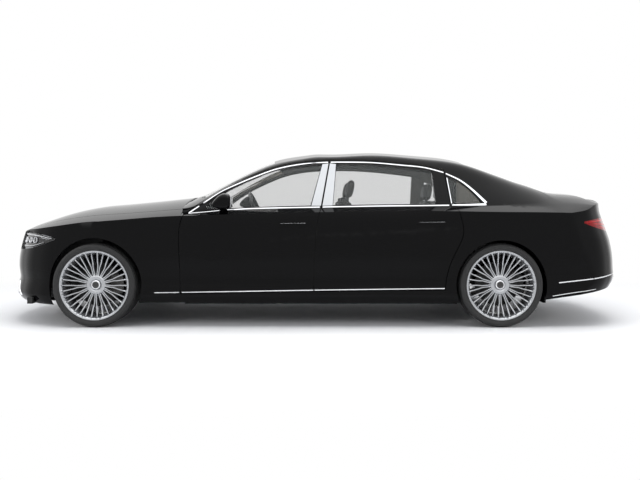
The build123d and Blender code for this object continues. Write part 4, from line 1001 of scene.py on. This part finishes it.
# Millimetres below the skin.
HOUSING_DEPTH, BAR_DEPTH, PROJECTOR_DEPTH = 23, 16, 20
for side, name in SIDES:
    for part, corners in (("inner", [(-2596, 652), (-2400, 662), (-2400, 780), (-2588, 784)]),
                          ("outer", [(-2400, 662), (-2190, 727), (-2190, 741), (-2400, 780)])):
        plate(f"headlamp_housing_{part}_{name}", "body", corners, -HOUSING_DEPTH, 3, gloss_black,
              "black_plastic", side, 8, 8)
    for part, path, width in (("upper", [(-2576, 768), (-2400, 764), (-2215, 737)], (18, 7)),
                              ("lower", [(-2560, 668), (-2440, 671), (-2300, 702)], (14, 5)),
                              ("middle", [(-2330, 742), (-2236, 731)], (7, 4))):
        strip(f"headlamp_bar_{part}_{name}", "body", path, width, 5, chrome, side,
              lift=-BAR_DEPTH)
    spots, ways = skin_points([(-2530, 718), (-2462, 720), (-2396, 722)], side)
    for k, (spot, way) in enumerate(zip(spots, ways)):
        for part, profile, material, slot in (("ring", PROJECTOR_RING, chrome, "bright_trim"),
                                              ("glass", PROJECTOR_GLASS, gloss_black, "black_plastic")):
            bm = facing(turned(profile, (0, 0, 0), 40), (spot - way * PROJECTOR_DEPTH) / 1000, way)
            add_piece(f"headlamp_{part}_{k}_{name}", bm, "body", material, 40)
print("headlamps filled")

# %% [markdown]
# ## Door mirrors
# A mirror is a rounded shell on a slim foot, higher at the back and drawn in towards its nose.  It is skinned
# over eight outlines, from the inner face to the tip, and given a pane of mirror glass behind.
# %% Shape the mirrors
MIRROR_SIDE = [(-838, 1012), (-806, 992), (-752, 984), (-704, 985), (-676, 1000), (-671, 1040), (-674, 1084),
               (-692, 1112), (-724, 1121), (-760, 1112), (-800, 1078), (-830, 1040)]
MIRROR_STATIONS = [(-884, 0.45), (-892, 0.78), (-912, 0.94), (-960, 1.0), (-1016, 0.98), (-1050, 0.88),
                   (-1064, 0.66), (-1068, 0.35)]
MIRROR_X, MIRROR_Z = -748, 1048
# Each station of the foot holds y, z, a share of its length and the middle in x.
FOOT_STATIONS = [(-858, 952, 1.5, -748), (-880, 962, 1.2, -748), (-900, 978, 1.0, -750),
                 (-930, 1002, 0.9, -752), (-960, 1020, 0.8, -752)]
FOOT_LENGTH, FOOT_HEIGHT = 34, 12


def mirror_shell(side):
    """A bmesh of the shell and its foot."""
    bm = bmesh.new()
    shell, foot = [], []
    for y, share in MIRROR_STATIONS:
        shell.append([bm.verts.new(((MIRROR_X + (x - MIRROR_X) * share) / 1000, -side * y / 1000,
                                    (MIRROR_Z + (z - MIRROR_Z) * share) / 1000)) for x, z in MIRROR_SIDE])
    for y, z, share, x in FOOT_STATIONS:
        foot.append([bm.verts.new(((x + FOOT_LENGTH * share * math.cos(angle)) / 1000, -side * y / 1000,
                                   (z + FOOT_HEIGHT * math.sin(angle)) / 1000))
                     for angle in np.linspace(0, 2 * math.pi, 12, endpoint=False)])
    for rings in (shell, foot):
        loft(bm, rings)
    return bm


for side, name in SIDES:
    body = BODY_OF[name + "_mirror"]
    shell = add_piece(f"{name}_mirror_shell", mirror_shell(side), body, paint, 180,
                      name + "_mirror")
    round_off = shell.modifiers.new("round", "SUBSURF")
    round_off.levels = round_off.render_levels = 2
    pane = rounded_block((0.003, 0.128, 0.088), 0.001, (-0.6735, 0.972 * side, 1.048))
    add_piece(f"{name}_mirror_glass", pane, body, chrome)
print("mirrors shaped")

# %% [markdown]
# ## Closing panels and the exhaust
# Aprons close each front wheel house from the engine bay, and hinge pillars stand behind the fenders.  They
# are pressed panels in chassis paint.  A rubber flap hangs ahead of each front wheel.  The exhaust is tucked
# up behind the rear bumper: two flat silencers whose undersides rise with the bumper's edge, each with an
# open tailpipe.
# %% Panels out of sight
APRON_INNER, APRON_OUTER, APRON_SPLIT = 462, 466, 532


def slab(name, ends, sides, low, high, material, stands_for=None):
    """A panel between two heights, its plan a rectangle of x ends and y sides.  In millimetres."""
    plan = [(ends[0], sides[0]), (ends[1], sides[0]), (ends[1], sides[1]), (ends[0], sides[1])]
    bm = bmesh.new()
    rings = []
    for level in (low, high):
        heights = np.broadcast_to(level, len(plan))
        rings.append([bm.verts.new((x / 1000, y / 1000, z / 1000)) for (x, y), z in zip(plan, heights)])
    loft(bm, rings)
    bmesh.ops.bevel(bm, geom=bm.edges, offset=0.001, segments=1, affect="EDGES")
    add_piece(name, bm, "body", material, stands_for=stands_for)


def along_x(bm, place, scale=(1, 1, 1)):
    """A turned pipe, scaled, swung round to lie along X and carried to its place."""
    bmesh.ops.scale(bm, vec=scale, verts=bm.verts)
    bmesh.ops.rotate(bm, cent=(0, 0, 0), matrix=Matrix.Rotation(math.radians(90), 3, "Z"), verts=bm.verts)
    bmesh.ops.translate(bm, vec=place, verts=bm.verts)
    return bm


TAILPIPE = [(0.019, 0.0), (0.019, 0.17), (0.0225, 0.172), (0.024, 0.17), (0.024, 0.0)]
MAIN_PIPE = [(0.0, 0.0), (0.028, 0.0), (0.028, 2.98), (0.0, 2.98)]
for side, name in SIDES:
    apron = (APRON_INNER * side, APRON_OUTER * side)
    slab(f"inner_apron_{name}", (-2360, -1150), apron, APRON_SPLIT, (800, 900, 900, 800), satin)
    for part, ends in (("ahead", (-2360, -2010)), ("behind", (-1640, -1150))):
        slab(f"lower_apron_{part}_{name}", ends, apron, 190, APRON_SPLIT, satin)
    slab(f"front_air_flap_{name}", (-2430, -2385), (640 * side, 815 * side), 182, 235, rubber)
    slab(f"hinge_pillar_{name}", (-1150, -1106), (480 * side, 905 * side), 220, 870, satin)
    slab(f"silencer_{name}", (1862, 2438), (60 * side, 555 * side), (188, 252, 252, 188), 296, steel,
         "exhaust")
    pipe = along_x(turned(TAILPIPE, (0, 0, 0), 48), (2.43, 0.48 * side, 0.288), (2.6, 1, 0.62))
    add_piece(f"tailpipe_{name}", pipe, "body", steel, 40, "exhaust")
pipe = along_x(turned(MAIN_PIPE, (0, 0, 0), 40), (-1.10, 0, 0.181))
add_piece("exhaust_pipe", pipe, "body", steel, 40, "exhaust")
print("aprons, pillars and exhaust in place")

# %% [markdown]
# ## Studio
# A pale floor that fades into a white room, one wide soft light overhead and two soft walls of light.  The
# lamps don't show in gloss surfaces: those see the room, bright above and plain white all round.  The camera
# stands level beside the car, over six metres from its middle line, at the height of its waist.
# %% Floor, lights and camera
def seen_rays(tree):
    """The light path, and whether its ray is seen directly, in a gloss surface or through glass."""
    path = add_node(tree, "ShaderNodeLightPath").outputs
    seen = path["Is Camera Ray"]
    for kind in ("Is Glossy Ray", "Is Transmission Ray"):
        seen = add_node(tree, "ShaderNodeMath", [(0, seen), (1, path[kind])], operation="MAXIMUM").outputs[0]
    return path, seen


def area_light(name, place, target, size, power):
    """A rectangular lamp aimed at a target, which doesn't show in gloss surfaces."""
    lamp = bpy.data.lights.new(name, "AREA")
    lamp.shape, lamp.size, lamp.size_y, lamp.energy = "RECTANGLE", size[0], size[1], power
    obj = bpy.data.objects.new(name, lamp)
    scene.collection.objects.link(obj)
    obj.location = place
    obj.rotation_euler = (Vector(target) - Vector(place)).to_track_quat("-Z", "Y").to_euler()
    obj.visible_glossy = False


floor_finish, tree, shader, place = shaded("pale_studio_floor", "#F2F2F2", 0.6, Specular_IOR_Level=0.2)
grain(tree, shader, place, 4, (0.55, 0.65))
stretch = add_node(tree, "ShaderNodeVectorMath", [(0, place)], operation="MULTIPLY")
stretch.inputs[1].default_value = (0.5, 1.0, 1.0)
far = add_node(tree, "ShaderNodeVectorMath", [(0, stretch.outputs["Vector"])], operation="LENGTH")
fade = add_node(tree, "ShaderNodeMapRange", [("Value", far.outputs["Value"])],
                interpolation_type="SMOOTHSTEP", From_Min=1.5, From_Max=3.4)
path, seen = seen_rays(tree)
blend = add_node(tree, "ShaderNodeMath", [(0, fade.outputs["Result"]), (1, seen)], operation="MULTIPLY")
white = add_node(tree, "ShaderNodeEmission", Color=(1, 1, 1, 1), Strength=1.0)
mixed = add_node(tree, "ShaderNodeMixShader", [(0, blend.outputs[0]), (1, shader.outputs[0]),
                                               (2, white.outputs[0])])
tree.links.new(mixed.outputs[0], tree.nodes["Material Output"].inputs["Surface"])
bm = bmesh.new()
bmesh.ops.create_grid(bm, x_segments=8, y_segments=8, size=14)
floor_mesh = bpy.data.meshes.new("floor")
bm.to_mesh(floor_mesh)
bm.free()
floor = bpy.data.objects.new("floor", floor_mesh)
floor_mesh.materials.append(floor_finish)
scene.collection.objects.link(floor)

world = bpy.data.worlds.new("white_room")
scene.world = world
world.use_nodes = True
tree = world.node_tree
backdrop = tree.nodes["Background"]
backdrop.inputs["Color"].default_value = (1, 1, 1, 1)
dim = add_node(tree, "ShaderNodeBackground", Color=(0.9, 0.93, 1.0, 1.0), Strength=0.55)
path, seen = seen_rays(tree)
look = add_node(tree, "ShaderNodeTexCoord").outputs["Generated"]
way_up = add_node(tree, "ShaderNodeSeparateXYZ", [(0, look)])
sky = add_node(tree, "ShaderNodeMapRange", [("Value", way_up.outputs["Z"])], interpolation_type="SMOOTHSTEP",
               From_Min=0.1, From_Max=1.0, To_Min=0.0, To_Max=1.6)
sky_share = add_node(tree, "ShaderNodeMath", [(0, sky.outputs["Result"]), (1, path["Is Glossy Ray"])],
                     operation="MULTIPLY")
brightness = add_node(tree, "ShaderNodeMath", [(0, sky_share.outputs[0])], operation="ADD")
brightness.inputs[1].default_value = 1.0
tree.links.new(brightness.outputs[0], backdrop.inputs["Strength"])
mix = add_node(tree, "ShaderNodeMixShader", [(0, seen), (1, dim.outputs[0]), (2, backdrop.outputs[0])])
tree.links.new(mix.outputs[0], tree.nodes["World Output"].inputs["Surface"])
area_light("overhead_softbox", (0.3, -0.5, 4.2), (0.3, 0, 0), (7, 3), 260)
area_light("front_wall_light", (-6.5, -4.5, 2.6), (-1.5, 0, 0.6), (3, 2), 140)
area_light("rear_wall_light", (6.5, -4.0, 2.6), (1.5, 0, 0.6), (3, 2), 110)

camera = bpy.data.cameras.new("side_camera")
camera.lens, camera.sensor_width, camera.shift_y = 38.7, 36, -0.056
camera_object = bpy.data.objects.new("side_camera", camera)
camera_object.location = (0.059, -6.66, 1.028)
camera_object.rotation_euler = (math.radians(90), 0, 0)
scene.collection.objects.link(camera_object)
scene.camera = camera_object
scene.view_settings.view_transform = "Standard"
print("camera at", tuple(camera_object.location))

# %% Finish
import json
